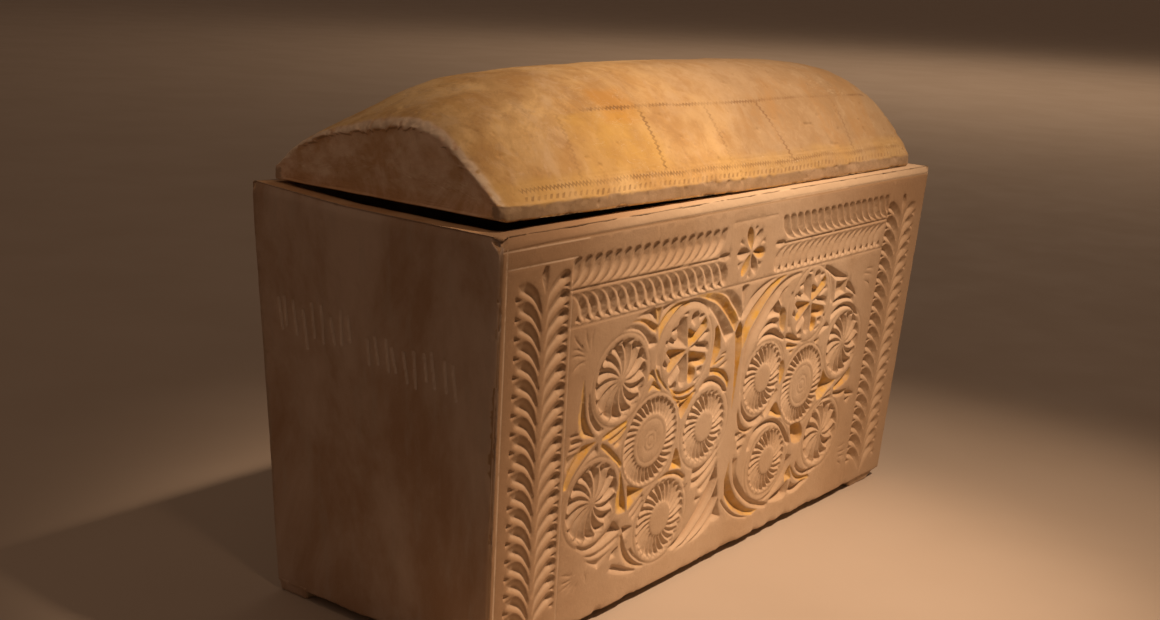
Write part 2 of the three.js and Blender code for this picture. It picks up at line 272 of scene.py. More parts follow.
def curve(points, n=4):
    """A smooth line through the points."""
    p = np.asarray(points, float)
    if len(p) < 3:
        return p
    a = np.vstack([2 * p[0] - p[1], p, 2 * p[-1] - p[-2]])
    out = []
    for i in range(len(p) - 1):
        p0, p1, p2, p3 = a[i:i + 4]
        for s in np.arange(n) / n:
            out.append(0.5 * (2 * p1 + (p2 - p0) * s + (2 * p0 - 5 * p1 + 4 * p2 - p3) * s * s
                              + (3 * p1 - p0 - 3 * p2 + p3) * s ** 3))
    out.append(p[-1])
    return np.array(out)


def away(q, line, weights=None):
    """Distance from points q to a line of points, times a weight for each of its segments."""
    best = np.full(len(q), 1e9)
    for n, (a, b) in enumerate(zip(line[:-1], line[1:])):
        d = b - a
        length = max(float(d @ d), 1e-9)
        s = np.clip(((q - a) @ d) / length, 0, 1)
        far = np.hypot(q[:, 0] - a[0] - s * d[0], q[:, 1] - a[1] - s * d[1])
        best = np.minimum(best, far if weights is None else far * weights[n])
    return best


def within(q, loop):
    """Which points lie inside a closed loop."""
    inside = np.zeros(len(q), bool)
    x, y = q[:, 0], q[:, 1]
    for (x0, y0), (x1, y1) in zip(loop, np.roll(loop, -1, 0)):
        if y0 == y1:
            continue
        crosses = (y0 > y) != (y1 > y)
        inside ^= crosses & (x < x0 + (y - y0) * (x1 - x0) / (y1 - y0))
    return inside


def P(text, dx=0.0, dt=0.0):
    return [(float(a) + dx, float(b) + dt) for a, b in (w.split(",") for w in text.split())]


# ------------------------------------------------------------------ the carved front
front = Sheet(-2, 742, -2, 360, 0.7)
SEEN = (-1.33, -0.39)         # how far a point one unit deep seems to move, seen from the front left
SEEN_MIRRORED = (1.33, -0.39)
DEEPER = 1.15


def palm(place, seen):
    """The tall palm at one end. place turns a point of the left palm into a point of the front."""
    def go(text, dt):
        return [place(x, t + dt) for x, t in P(text, 0.056 * dt, 0)]

    for i in range(19):
        dt = 15.6 * (i - 1)
        front.cut([(0.46, go("57,79 51,65 44,57 36,52.8 30,53.4 24,54.3", dt)),
                   (0.7, go("24,54.3 26,61", dt)),
                   (0.95, go("26,61 30,63.5 36,66.5 44,71.5 51,79 57,87", dt)),
                   (0.6, go("57,87 57,79", dt))], cap=5, seen=seen)
        front.cut([(1.1, go("22,62.5 31.5,67", dt)), (1.1, go("31.5,67 23.5,70", dt)), (1.1, go("23.5,70 22,62.5", dt))])
        front.cut([(0.8, go("61,79 62,65 68,57 76,50.5 84,48.7 89,52", dt)),
                   (0.7, go("89,52 89,58", dt)),
                   (0.5, go("88,58 84,61 78,63 70,69 63,80", dt)),
                   (0.6, go("63,80 61,79", dt))], cap=5, seen=seen)
        front.cut([(1.1, go("80,62.5 89.5,60", dt)), (1.1, go("89.5,60 89.5,66", dt)), (1.1, go("89.5,66 80,62.5", dt))])
    front.cut([(1.0, go("55,27 52,36 57.5,49", 0)), (1.0, go("58.5,50 60.5,40 60.5,28", 0))])


palm(lambda x, t: (x, t), SEEN)


def right_palm(x, t):
    stem = 59 + 0.056 * (t - 52)
    far = (stem - x) * 0.906 if x < stem else (stem - x) * 1.2
    return 683.5 - 0.0625 * (t - 52) + far, t


palm(right_palm, SEEN_MIRRORED)


def frond(place, seen):
    """The long leafy branch below the rim, on one side of the small rosette."""
    go = lambda text, dx: [place(x + dx, t) for x, t in P(text)]
    front.clip = (90.5, 646.5, 20, 90)
    for k in range(17):
        dx = 96 + 13.55 * k - 134
        front.cut([(0.72, go("106,50.8 113,48.5 120,43 124,36 127,29 131,25.5 136,24.8", dx)),
                   (1.2, go("136,24.8 139.5,27", dx)),
                   (0.46, go("139.5,27 138,32 136.5,38 131,45 124,49.5 113,51.5", dx))], cap=5, ends=0.5, seen=seen)
        dx = 102.5 + 13.2 * k - 163.3
        front.cut([(1.2, go("144,54.8 152,57 158,61.5 161.5,67 163,73", dx)),
                   (0.7, go("163,73 165,77.5 169,80.3 173.5,80 176,73.5", dx)),
                   (0.36, go("176.8,73.5 175.6,67 172,61.2 166,56.8 157,54.6", dx)),
                   (0.5, go("157,54.8 144,54.8", dx))], cap=5, seen=seen)
        front.cut([(1.1, go("163.3,73.5 160,80.8", dx)), (0.9, go("160,80.8 171,83", dx)), (1.1, go("171,83 163.3,73.5", dx))])
    front.clip = None
    front.line([place(91, 52.5), place(310, 54)], 1.7, 1.3)
    front.cut([(0.9, go("309,50.5 318,49.3 327,50.3", 0)), (0.6, go("327,50.3 328.5,55", 0)),
               (0.5, go("328.5,55 318,57.8 309,56.5", 0))], cap=3)


frond(lambda x, t: (x, t), SEEN)
frond(lambda x, t: (737.5 - x, t - 0.8), SEEN_MIRRORED)

# plain border lines
front.line([(4, 11.2), (60, 9.6), (370, 8.8), (736, 8.6)], 1.2, 0.8)
front.line([(8, 26), (97, 24.6)], 0.9, 0.55)
front.line([(329, 22.8), (406, 22.4)], 0.9, 0.6)
front.line([(92, 83.8), (330, 83.6), (404, 83.4), (646, 83.0)], 1.2, 0.8)
front.line([(8, 12), (11, 60), (13, 110), (22, 270), (26.5, 351)], 0.9, 0.5)
front.line([(735, 12), (729, 110), (720, 270), (715, 351)], 0.9, 0.5)
front.line([(90.5, 25), (94, 85), (103, 245), (109, 350)], 0.9, 0.5)
front.line([(647, 25), (643, 85), (634, 245), (628, 350)], 0.9, 0.5)

# small rosette between the buds
for angle, half, paint in ((180, 6.0, 0), (122, 5.4, 0.9), (62, 5.6, 0), (8, 6.0, 0.7), (-52, 5.4, 0), (-108, 5.6, 0.9)):
    ca, sa = math.cos(math.radians(angle)), math.sin(math.radians(angle))
    spot = lambda a, b: (365.5 + a * ca - b * sa, 54 + a * sa + b * ca)
    front.cut([(0.75, [spot(1.5, 0), spot(9, half * 0.75), spot(17, half), spot(23, half * 0.7), spot(26.5, 0)]),
               (0.75, [spot(26.5, 0), spot(23, -half * 0.7), spot(17, -half), spot(9, -half * 0.75), spot(1.5, 0)])],
              ochre=paint, cap=4.5)
    cb, sb = math.cos(math.radians(angle + 30)), math.sin(math.radians(angle + 30))
    spot = lambda a, b: (365.5 + a * cb - b * sb, 54 + a * sb + b * cb)
    front.cut([(0.7, [spot(15, 0), spot(25, -3.2)]), (0.7, [spot(25, -3.2), spot(25, 3.2)]), (0.7, [spot(25, 3.2), spot(15, 0)])])

# ---------------- rosettes
LEAFY = dict(ka=0.58, kb=0.80, kend=1.2, kin=0.6, cap=4.2)
front.rosette(172.7, 142.5, 2, 36, 14, twist=-27, turn=1, power=1.6, wobble=1, **LEAFY)
front.rosette(146.5, 247.9, 2, 35.5, 14, twist=-27, turn=19, power=1.6, wobble=1, **LEAFY)
front.rosette(581.5, 180.3, 2, 34.5, 14, twist=-27, turn=11, power=1.6, wobble=1, **LEAFY)
front.rosette(556.7, 276.5, 2, 34.5, 13, twist=-27, turn=13, power=1.6, wobble=1, **LEAFY)
MANY = dict(ka=0.80, kb=1.10, kend=1.1, kin=0.7, cap=2.3)
front.rosette(227.1, 209.5, 24.5, 41, 34, twist=-26, wobble=1, chips=False, **MANY)
front.rosette(315.4, 216, 14.5, 34, 24, twist=-32, wobble=1, **MANY)
front.rosette(256.1, 292.3, 15.5, 37, 25, twist=-34, wobble=1, **MANY)
front.rosette(500, 211, 24.5, 41, 34, twist=-26, wobble=1, chips=False, **MANY)
front.rosette(416.5, 188, 14, 34.5, 24, twist=-32, wobble=1, **MANY)
front.rosette(445.4, 281.4, 14, 33.5, 24, twist=-32, wobble=1, **MANY)
for cx, ct in ((227.1, 209.5), (500, 211)):
    for r in (5.0, 9.8, 20.5):
        a = np.radians(np.arange(0, 361, 10))
        front.line(np.column_stack([cx + r * np.cos(a), ct + r * np.sin(a)]), 0.9, 0.5)

# two broad six-part rosettes: hollows between raised ridges, painted turn about
SIX = [
    (0.9, [(.40, "272,131 270,122 269,112"), (1.1, "269,112 276,115 283,118.5"), (1.1, "283,118.5 290,112 297,106"),
           (.6, "297,106 301,112 300,118"), (.40, "300,118 290,124.5 280,129 272,131")]),
    (0, [(.55, "275,132 285,127.5 294,122.5 303,117.5"), (.6, "303,117.5 307,122"), (.9, "307,122 299,125.5 291,129"),
         (.9, "291,129 300,130 307,132.5"), (.6, "307,132.5 308,140 305,140.5"), (.5, "305,140.5 290,137.5 275,133.5")]),
    (0.9, [(.55, "275,134.5 290,138 303,141.5"), (.6, "303,141.5 305,148 302,152"), (.9, "302,152 295,152 288,152"),
           (.9, "288,152 289,160 286,166"), (.6, "286,166 280,167 276.5,164"), (.45, "276.5,164 276,150 273.5,136")]),
    (0, [(.40, "272,137 274.5,150 275,164"), (.6, "275,164 270,168 264,166"), (.8, "264,166 262,158 263,151"),
         (.8, "263,151 256,157 251,162"), (.6, "251,162 246,160 245,154"), (.55, "245,154 256,145 268,136")]),
    (0.9, [(.55, "269,134.5 256,143 246,150"), (.6, "246,150 241,147 243,140"), (.9, "243,140 246,139 240,133 237,130"),
           (.6, "237,130 240,127.5"), (.55, "240,127.5 255,129.5 270,132.5")]),
    (0, [(.45, "270,131 255,128 241,124"), (.6, "241,124 239,120 242,116"), (.9, "242,116 250,121 253,118"),
         (.9, "253,118 252,110 254,103"), (.6, "254,103 260,100.5 266,101.5"), (.40, "266,101.5 268.5,115 271,130")]),
    (0, [(.8, "273,108 275,100 282,98"), (.8, "282,98 286,103 281,113"), (.6, "281,113 273,108")]),
    (0, [(.8, "286,109 288,102 297,104"), (.8, "297,104 286,109")]),
    (0, [(.7, "291,154 299,153 300,160"), (.7, "300,160 293,160 291,154")]),
    (0, [(.8, "299,161 291,168 287,165"), (.8, "287,165 299,161")]),
    (0, [(.7, "248,165 257,160 260,167"), (.7, "260,167 254,170 248,165")]),
    (0, [(.8, "236,136 242,143 239,146"), (.8, "239,146 234,141 236,136")]),
    (0, [(.8, "243,110 252,108 253,113"), (.8, "253,113 245,114.5 243,110")]),
    (0, [(.8, "236,118 240,121 238,125"), (.8, "238,125 235,122 236,118")]),
    (0, [(.8, "259,98 267,96.5 268,100"), (.8, "268,100 263,100 259,98")]),
    (0, [(.8, "303,111 309,121 304,115"), (.8, "304,115 303,111")]),
]
for paint, edges in SIX:
    front.cut([(k * 1.35, P(s)) for k, s in edges], ochre=paint, cap=6)
    front.cut([(k * 1.35, [(497 + (x - 272) * 0.95, 122.5 + (t - 133) * 0.95) for x, t in P(s)]) for k, s in edges],
              ochre=paint, cap=6)

# ---------------- bands and fields of the left roundel: (upper, lower, upper slope, lower slope, ochre)
BANDS = [
    ("166,98.3 178,95 190,96.5 202,102 210,107.5 216,110 222,118", "166,98.8 180,99.8 192,103.5 201,110 207,118 210,121 222,118.5", .35, 1.2, 0),
    ("178,92 190,90.8 201,92.5 212,97 221,101.5", "178,92.5 190,94.5 201,99 210,105 219,109", .45, 1.2, .6),
    ("184,89.5 196,86 212,84 217,92 220,101", "184,89.8 196,91.8 208,95.5 220,101.5", .7, .5, .2),
    ("213,84.8 224,85", "213.5,85.5 219.5,101 223.5,86", .7, .7, .7),
    ("224,85 236,84 252,84.5", "221,101 228,94 236,89 245,86.5 252,85", .9, .45, .2),
    ("219.5,104 224,98 232,91.5 240,87.5 252,85.5 266,86.5", "224,118 228,107 240,96.5 250,92 262,90 276,91", 1.2, .38, 1),
    ("262,85 275,84.2 288,86.5 299.5,90.2 312,95.2 322,101.7 332,109.7 341,118 352,130", "262,86 275,88 285,91 295,96 305,103 315,112 322,120 330,130 337,138", .3, 1.3, .15),
    ("275,83.5 296,83.6 310,85 322,88.2 332,93.4 340,101 350,110 357,118", "275,84 288,87 299.5,91 312,96 322,102.5 332,110.5 341,118.7 352,130", .3, 1.3, .7),
    ("296,83 318,83.8 330,84.6 340,87.8 350,93.4 358,101 362,110 363.5,119", "296,83.6 310,85.7 322,89 332,94.2 340,101.7 350,110.8 357,119", .3, 1.3, .3),
    ("118,131 117,141 116,152 115,165 118,178 123,184", "119.5,131 121.5,142 124,155 126,165 130,173 137,182 144,188.5", .5, .5, .55),
    ("126,146 127,158 131,170 140,181 147,186", "130,146 134,160 140,170 150,179 156,182", 1.2, .4, .1),
    ("103,226 104,218 108,208 116,198 124,190.5", "109,226 114,216 124,206 136,197 146,191", 1.0, .3, 1),
    ("109.5,228 114.5,217 124.5,207 136.5,198 147,192", "113,232 117,222 126,213 137,206 148,203.5", .5, .35, 0),
    ("107,182.5 114,182 124,185", "106,189.5 114,189 124,187.5", .6, .8, .3),
    ("105,177.5 113,177.3 121,179.5", "107,182 114,181.3 121,181", .9, .5, 0),
    ("105,190 113,189.8 122,190", "105,194.2 113,194 120,192", .6, .9, .1),
    ("103,195 111,194.6 120,194.5", "102,207 106,211 110,205 120,195", .4, .5, .3),
    ("152,189 168,184.5 188,181.5", "152,193.5 168,191.5 187,185.2", .9, .4, 1),
    ("160,194.2 172,191 187,186", "166,199 178,196 188,188.5", .9, .4, .9),
    ("168,200 179,195.5 188,189.3", "172,204 180,203 188,190.5", .9, .5, .4),
    ("152,194 162,199 172,207 182,216 187,223", "150,198 158,204 168,212 178,220 182,225", .45, 1.0, .8),
    ("184,225 187,232 190,240 196,258 199,270", "183,240 181.5,255 184,268 199,270.5", .5, .4, .75),
    ("245,160 258,169 271,172 284,170.5 292,168.5", "247,164 258,173.5 270,176.5 284,176 292,173", .7, .6, .8),
    ("247,164.5 258,174 270,177.5 284,177 293,173.6", "258,178 266,181.8 275,183.6 285,182.6 294,177.5", .8, .6, .9),
    ("225,140.5 230,148 236,155 245,163.5", "222,143 228,152 236,160 245,167.5", .6, .6, .6),
    ("213,144 219,141.5 224,148 229,155", "213,153.5 219,149.5 225,154.5 229,160", .7, .7, .5),
    ("217,158 222,152.5 229,157 236,163", "214,163 222,161 230,163.5 236,166", .8, .6, .7),
    ("128,281 138,286 150,287 161,284.5 172,278.5 181,273.5 193,285", "130,287.5 140,293 150,295 162,295 175,292 188,288 193,285.5", .9, .45, .1),
    ("130,288.5 138,293.8 150,296 162,296 175,293 190,288.6", "138,294.5 148,299.5 160,301.5 172,300 184,296.5 191,292.5", .5, 1.0, .1),
    ("141,298.5 152,303 162,304 172,302.5 182,299.5", "141,299.3 150,306 160,312 164,313.5 172,307 182,300.5", .5, .9, .1),
    ("192,291 193,303 199,316 208,325 220,331 234,334", "198,290 202,303 208,312 217,321 228,328 238,332.5", .5, .9, .35),
    ("207,309 216,319 228,327.5 240,332.5", "212,308 220,317 230,325 242,331.5", .7, .7, .2),
    ("184,316 196,320.5 210,327 224,332.5", "178,322.5 190,327.5 205,332.5 222,335.5", 1.0, .5, .1),
    ("297,175 308,167.5 320,167 332,171.5 343,179.5 350,188.5", "300,178.5 312,175.5 322,176 335,182 342,189", .7, .8, .3),
    ("313.5,158 325,160 337,163.5 346,170 351,178", "314,166 322,166.5 333,170.5 344,178 350,186", .6, .6, .9),
    ("302,256 315,256 326,253 337,247 343,241", "302,265 315,264.5 326,261 337,254 345,245", .8, .55, .15),
    ("302,266 315,265.5 326,262 337,255 346,247", "303,275 314,275 326,270.5 337,262.5 345.5,253.5", .8, .5, .15),
    ("315,278 326,274 338,266 346,257", "318,283 326,284 336,275 345,263", .7, .7, .1),
    ("245,251 258,247.5 270,248 280,250.5 292,259", "246,253.3 258,252.5 270,254.5 280,258.5 291,265", .7, .9, .5),
    ("273,328 290,321 300,315 311,306 321,296 331,283 341,268 346,256", "283,332.5 300,328 314,320 328,309.5 338,300 346,289 351,276", 1.5, .62, .1),
    ("284,333 301,328.6 315,320.8 329,310.3 339,300.8 347,289.8 352,277", "300,333.5 318,328.5 332,322 344,313 352,304 356,297", 1.5, .62, .1),
    ("301,334 319,329.1 333,322.6 345,313.6 353,304.6 357,298", "325,332 340,327 352,319 358,309 358.5,302", 1.5, .62, .1),
    ("203,272 213,265.5 222,258", "205,276.5 214,271 224,262", .8, .6, .1),
    ("207,278 216,271.5 224,264", "211,281.5 219,276 226,267", .8, .6, .1),
    # the right roundel
    ("362,113 366,108 372,101.5 380,95 390,90.3 400,87.4 410,85.8 420,85", "362,121 366,119.5 372,116 380,109 390,102 400,95.3 410,90.3 420,87", .42, .5, .1),
    ("366,128 372,118.5 380,110 390,103 400,96.3 410,91.2 420,87.8 430,86 440,85.3", "370,150 376,139 380,132 390,122 400,112 410,103 420,95.5 430,90.5 440,87", .42, .45, 1),
    ("374.5,197 374,185 373.8,170 374,155 376,145 379,137 384,130.5 390,124 400,114 410,105 420,97.5 430,92.3 440,88.8 450,87 460,86.3 470,86", "378.5,197 380.5,185 383,173 386,160 391.5,148 400,137 410,127 416,121 420,116.5 427,109.5 434,103.5 440,98.5 450,93.5 460,91 470,90", .42, .42, .1),
    ("399,140.5 404,136 410,131.5 416,128.6 425,127.3 433,129.5 436,132", "397,146.5 405,141.5 415,137.5 425,136.3 435,138.3", .5, .9, 0),
    ("398,148.5 404,144 410,140.3 420,137.9 430,139.3 440,144.3 452,152.5", "396,153 402,150.2 408,148.3 418,147.3 430,149 440,152.3 450,155.6", .5, .9, .15),
    ("379,200 384,209 390,217 397,223 405,226.5 412,227 420,226 426,224", "378,205 382,217 388,225 395,231 402,235 410,236 418,235.5 427,231.5", .7, .5, .1),
    ("375,208 378,217 383,226 390,232.5 397,236 404,236.5 409,236", "374,215 376,224 380,232 385,237.5 392,240.5 399,241.5 406,240", .7, .7, .4),
    ("375,236.5 384,236.8 391,238.8", "377,244.5 384,245 392,242", .9, .4, .1),
    ("380,246 388,243 396,241.5", "381,250.5 388,250.8 398,247", .8, .5, .1),
    ("382,252.5 388,252 392,253", "383,256 386,259.5 392,254", .8, .8, .2),
    ("401,262 404,252 410,243.5 418,238.5 430,236 440,235.5 450,237.5 460,241.5 468,246.5 476,254 481,259 487,266 491,274", "409,262 413,254 419,248.3 427,245 435,243.8 444,243.8 453,246 461,250 468,256 474,263 480,270 484,275", .7, .55, .1),
    ("362,300 370,308.5 378,315.5 386,321 394,326 404,330.5 414,333.5 424,336", "362,305 370,313.5 378,320.5 386,326 395,330.5 405,334 415,336.5", .8, .6, .1),
    ("371,262 374,280 380,292 388,303 396,311 406,318.5 416,325 428,329.5 440,333", "365.5,283 367,294 370,304 378,313 387,320.5 396,326 406,330.5 416,334 428,336.5", .5, .5, .65),
    ("386,265 386.5,280 394,291 402,299.5 412,309 422,316 432,321 442,325 452,328.5 460,331.5", "376,262 378,275 381,285 387,297 395,306 404,314 414,321 424,326.5 434,330.5 445,334 455,336", .45, .5, .3),
    ("486,284 484,295 478,305 470,313 462,318.5 452,322 444,323", "498,288 496,298 490,308 481,316 471,321.5 460,325 448,326.5", .6, .5, .1),
    ("462,327 472,324 482,320.8 491,317.5 498,314", "459,331.5 470,333.5 481,335 492,334.8 499,331", .5, .8, .2),
    ("497,297 502,303 508,309.5 515,314.5 523,317.5 532,319.3 542,320.3", "500,305.5 505,312.5 511,318.5 519,323.3 528,325.5 538,326.3 546,325", .8, .5, .6),
    ("509,297 515,304 521,308.5 529,312.3 538,314 548,314.3 557,314.5", "508,304.5 515,311.5 522,316 531,319.6 541,320 551,318.8 558,316.5", .9, .6, .2),
    ("503,318 508,322.5 515,325 524,324.6 532,323.5 541,325", "498,330 506,333.8 516,334 526,331.5 536,328.5 545,325.5", .6, .8, .2),
    ("452,148.5 458,148.5 466,150.5 476,155.5 488,160", "452,155 460,157.5 470,160.5 480,162.3 488,162", .6, .9, .4),
    ("456,159 463,159.8 471,162.3 480,165", "457,165.5 465,166.5 473,167 480,166.2", .9, .9, .6),
    ("518,86 530,88.5 542,93 552,97 562,101 572,105", "519,92 530,97.5 540,103 548,106.5 556,107.5 566,108 575,107.5", .45, .6, .2),
    ("546,129.5 552,127.5 560,125.8 568,125 576,125 584,126.5 592,129.5", "546,134.5 555,133.5 565,133 575,133.3 585,134.5 594,137.5", 1, .6, .2),
    ("545,143.5 552,138.5 560,135.5 570,134 580,134.5 590,137.5 598,142 605,148 611,154", "545,150 552,147.3 560,144.3 570,142.3 580,142 590,144.5 598,149.5 604,154", .7, .8, .1),
    ("573,110.5 580,112.5 586,117 592,122.5 597,128.5", "571,119 578,121.5 584,124 590,126.5 597,131", .7, .8, .1),
    ("574,229 580,225.5 589,222 600,217 609,211", "576,234 584,232.3 594,230.5 603,227.5 610,223", 1, .7, .7),
    ("573,233.5 580,234 590,235.5 600,236 606,236", "576,240 586,242.5 596,243 606,239", .7, .6, .4),
    ("538,245 545,240.5 553,237 561,235.5 569,236", "540,250 547,245.5 555,242.8 563,241.5 570,241.5", .6, .6, .1),
    ("426,227 431,221.5 437,215.5 443,209.5 447,204", "431,233 437,229 443,222 449,214 452,207", .6, .6, .3),
]
for upper, lower, ku, kl, paint in BANDS:
    left = P(upper)[0][0] < 359
    front.band(P(upper), P(lower), ku * (1.15 if left else 1.4), kl * (1.15 if left else 1.4), paint, cap=6.5,
               seen=SEEN if left else None)

# fields and pits: closed outlines, [ochre, cap, (slope, points) ...]
FIELDS = [
    (.9, 4.5, [(.9, "268,184 284,181 291,178"), (.5, "291,178 284,190 274,200"), (.7, "274,200 269,192 268,184")]),
    (.6, 5, [(1, "262,179.5 273,182"), (1, "273,182 267,187"), (1, "267,187 262,179.5")]),
    (.9, 3.2, [(.7, "353,131 357,150 360,170 362,200 362,215"), (.6, "364,205 366,180 368,155 372,135"), (.7, "369,133 360,121 353,131")]),
    (.2, 4, [(.6, "356,86 362.5,85 369,86"), (.7, "369,86 365,99 362.5,112"), (.5, "362.5,112 359,99 356,86")]),
    (.2, 4, [(.6, "356,301 352,312 347,321"), (.5, "347,321 356,323 366,321"), (.6, "366,321 361,311 356,301")]),
    (.9, 4, [(.8, "316,120 322,118 327,128 329,143"), (.6, "329,143 321,156 314,158"), (.6, "314,158 316,145 317,130 316,120")]),
    (.7, 3, [(.7, "321,155 332,151.5 342,150"), (.7, "342,150 333,155 321,157")]),
    (.4, 3, [(.7, "330,160 338,157 346,154.5"), (.7, "346,154.5 340,161 330,162")]),
    (.4, 3, [(.7, "330,148.5 340,146"), (.7, "340,146 340,149.5 330,149.5")]),
    (.75, 6, [(.9, "196.5,244 211,250 226,254.5"), (.45, "226,254.5 213,262 201,270"), (.8, "201,270 199,257 196.5,244")]),
    (.9, 4, [(.6, "270,226 276,232 281,243 283,250"), (.7, "283,250 273,247.5 262,247"), (.6, "262,247 266,240 268,232 270,226")]),
    (.1, 4, [(.9, "298,266 291,272"), (.9, "291,272 294,278"), (.9, "294,278 298,266")]),
    (.1, 4, [(.9, "194,283 204,284.5 212,287"), (.7, "212,287 201,297"), (.8, "201,297 194,283")]),
    (.1, 3.5, [(.8, "184,303 193,301 190,311"), (.7, "190,311 180,311"), (.7, "180,311 184,303")]),
    (.1, 3.5, [(.8, "313,286 325,289"), (.8, "325,289 316,294"), (.8, "316,294 313,286")]),
    (0, 3.5, [(.5, "408,127.5 414,120.5 420,115.5 427,110.8 431,109.5"), (.8, "431,109.5 435,116 440,127.5"), (.9, "440,127.5 430,127 418,126.3 408,127.5")]),
    (0, 3.5, [(.5, "428,108.5 437,100.5 447,97.5"), (.8, "447,97.5 441,105 437,118"), (.8, "437,118 432,112 428,108.5")]),
    (.7, 5, [(.5, "545,201 549,207 556,213 566,218 577,220"), (.7, "577,220 568,226 560,229 552,234 545,237 538,236"), (.6, "538,236 536,228 540,216 543,208 545,201")]),
    (.3, 4, [(.8, "555,234.5 563,230.8 570,229.5"), (.7, "570,229.5 562,236 555,237")]),
    (.6, 4, [(1, "463,169 474,168.3"), (.9, "474,168.3 468,172.5"), (.9, "468,172.5 463,169")]),
    (.2, 4, [(.7, "522,161 530,154.5 537,149.8 545,155"), (.8, "545,155.5 536,158 528,160.5 522,162")]),
    (.4, 4, [(1, "513,166 526,165"), (.9, "526,165 521,171"), (.9, "521,171 513,166")]),
    (.2, 3, [(.8, "526,139 533,141"), (.8, "533,141 530,147"), (.8, "530,147 526,139")]),
    (.3, 3, [(.8, "602,238.5 614,240 626,246"), (.6, "626,246 612,247.5 602,243")]),
    (.2, 3, [(.7, "603,248.5 611,247.3 619,247"), (.7, "619,247 611,254.5"), (.7, "611,254.5 603,248.5")]),
    (.65, 4.5, [(1, "486,253.5 497,252.5 508,254"), (.5, "508,254 514,262 517,270 513,277"), (.5, "513,277 503,277 495,274"), (.9, "495,274 490,264 486,253.5")]),
    (.9, 3, [(.7, "488,309 497,299 501,307 503,316"), (.6, "503,316 497,316 491,319"), (.6, "491,319 488,309")]),
    (.9, 3.5, [(.8, "437,231 443,223 450,220 458,228 466,238"), (.7, "466,238 458,238.5 448,234.5 437,231")]),
    (.75, 3, [(.6, "449,178 455,176 459,186 457,196 452,203"), (.6, "452,203 450,190 449,178")]),
    (.6, 2.5, [(.5, "437,118 446,122 449,132 449,143 444,146"), (.5, "444,146 438,140 435,131 437,118")]),
    (.3, 2.6, [(.8, "548,107.5 560,109.5 573,108"), (.5, "573,108 571,118 572,124"), (.6, "572,124 560,124 548,127.5"), (.6, "548,127.5 549,117 548,107.5")]),
]
for paint, cap, edges in FIELDS:
    front.cut([(k * 1.35, P(s)) for k, s in edges], ochre=paint, cap=cap * 1.3)

# a fine groove round each rosette sets off its raised ring
for cx, ct, r in ((172.7, 142.5, 41.5), (146.5, 247.9, 41), (581.5, 180.3, 40.5), (556.7, 276.5, 40), (315.4, 216, 41),
                  (256.1, 292.3, 42.5), (416.5, 188, 40.5), (445.4, 281.4, 43), (227.1, 209.5, 44), (500, 211, 44),
                  (271.8, 134.1, 41), (496.2, 124, 40)):
    front.arc(cx, ct, r - 1.2, r + 1.6, 0, 360, 0.5, 0.35, cap=0.9)

# slanting rings round some rosettes
front.arc(271.8, 134.1, 39.5, 48.5, 168, 318, .36, 1.2, ochre=0, cap=3.2)
front.arc(496.2, 124, 43, 50, -48, 8, .6, .6, ochre=.2, cap=2.6)
front.arc(496.2, 124, 40, 46, 150, 205, .5, .6, ochre=.1, cap=2.2)
front.arc(445.4, 281.4, 33.8, 40, 0, 360, .25, .25, cap=1.0)
front.arc(416.5, 188, 35.5, 40.5, 0, 360, .3, .3, cap=.9)

# sprigs in the corners of the panel
SPRIGS = [
    ("97,87.5 106,98 124,113", 2.4), ("115,85 118,97 126,113", 2.2), ("96,103 108,104.5 124,113", 2.6),
    ("95,110 108,109.5 124,114", 2.6), ("99,125 109,117.5 124,115", 2.6), ("127,86 125,98 127,112", 2.0),
    ("108,303.5 118,306.5 133,311", 2.4), ("108,312 118,313 133,312", 2.4), ("110,321 120,317.5 133,313.5", 2.4),
    ("128,330 133,322 136,314", 2.2), ("140,306 147,317 146,326", 2.0), ("116,328.5 125,320 134,314.5", 2.2),
    ("606,107.5 618,108.5 634,112", 2.4), ("610,115 620,118 628,123", 2.6), ("611,102.5 622,103 636,104.5", 2.2),
    ("602,310 614,312.3 628,311", 2.4), ("603,317 614,317.8 626,318.5", 2.4), ("605,321.5 614,325.5 621,330", 2.4),
    ("600,304 612,305 626,303.5", 2.0),
]
for text, wide in SPRIGS:
    a, b, c = (np.array(p) for p in P(text))
    side = np.array([a[1] - c[1], c[0] - a[0]])
    side = side / math.hypot(*side) * wide
    front.cut([(0.6, [a, b - side * 0.6, c]), (0.9, [c, b + side * 0.5, a])], cap=2.2)

front.h *= DEEPER
front.blur(0.32)
front.blur(0.45, "ochre")

# ------------------------------------------------------------------ the plain left end: t down, x = distance from the back corner
end_l = Sheet(-2, 282, -2, 360, 0.9)
rng = np.random.default_rng(5)
for row, (t0, x0, x1, count) in enumerate(((92, 24, 120, 9), (104, 130, 236, 10))):
    for k in range(count):
        x = x0 + (x1 - x0) * (k + 0.5 + 0.25 * rng.uniform(-1, 1)) / count
        lean, size = rng.uniform(1.0, 4.5), rng.uniform(18, 34)
        top = t0 + rng.uniform(-5, 5)
        end_l.line([(x, top), (x + lean, top + size)], 1.7, 1.4)
end_l.blur(0.3)


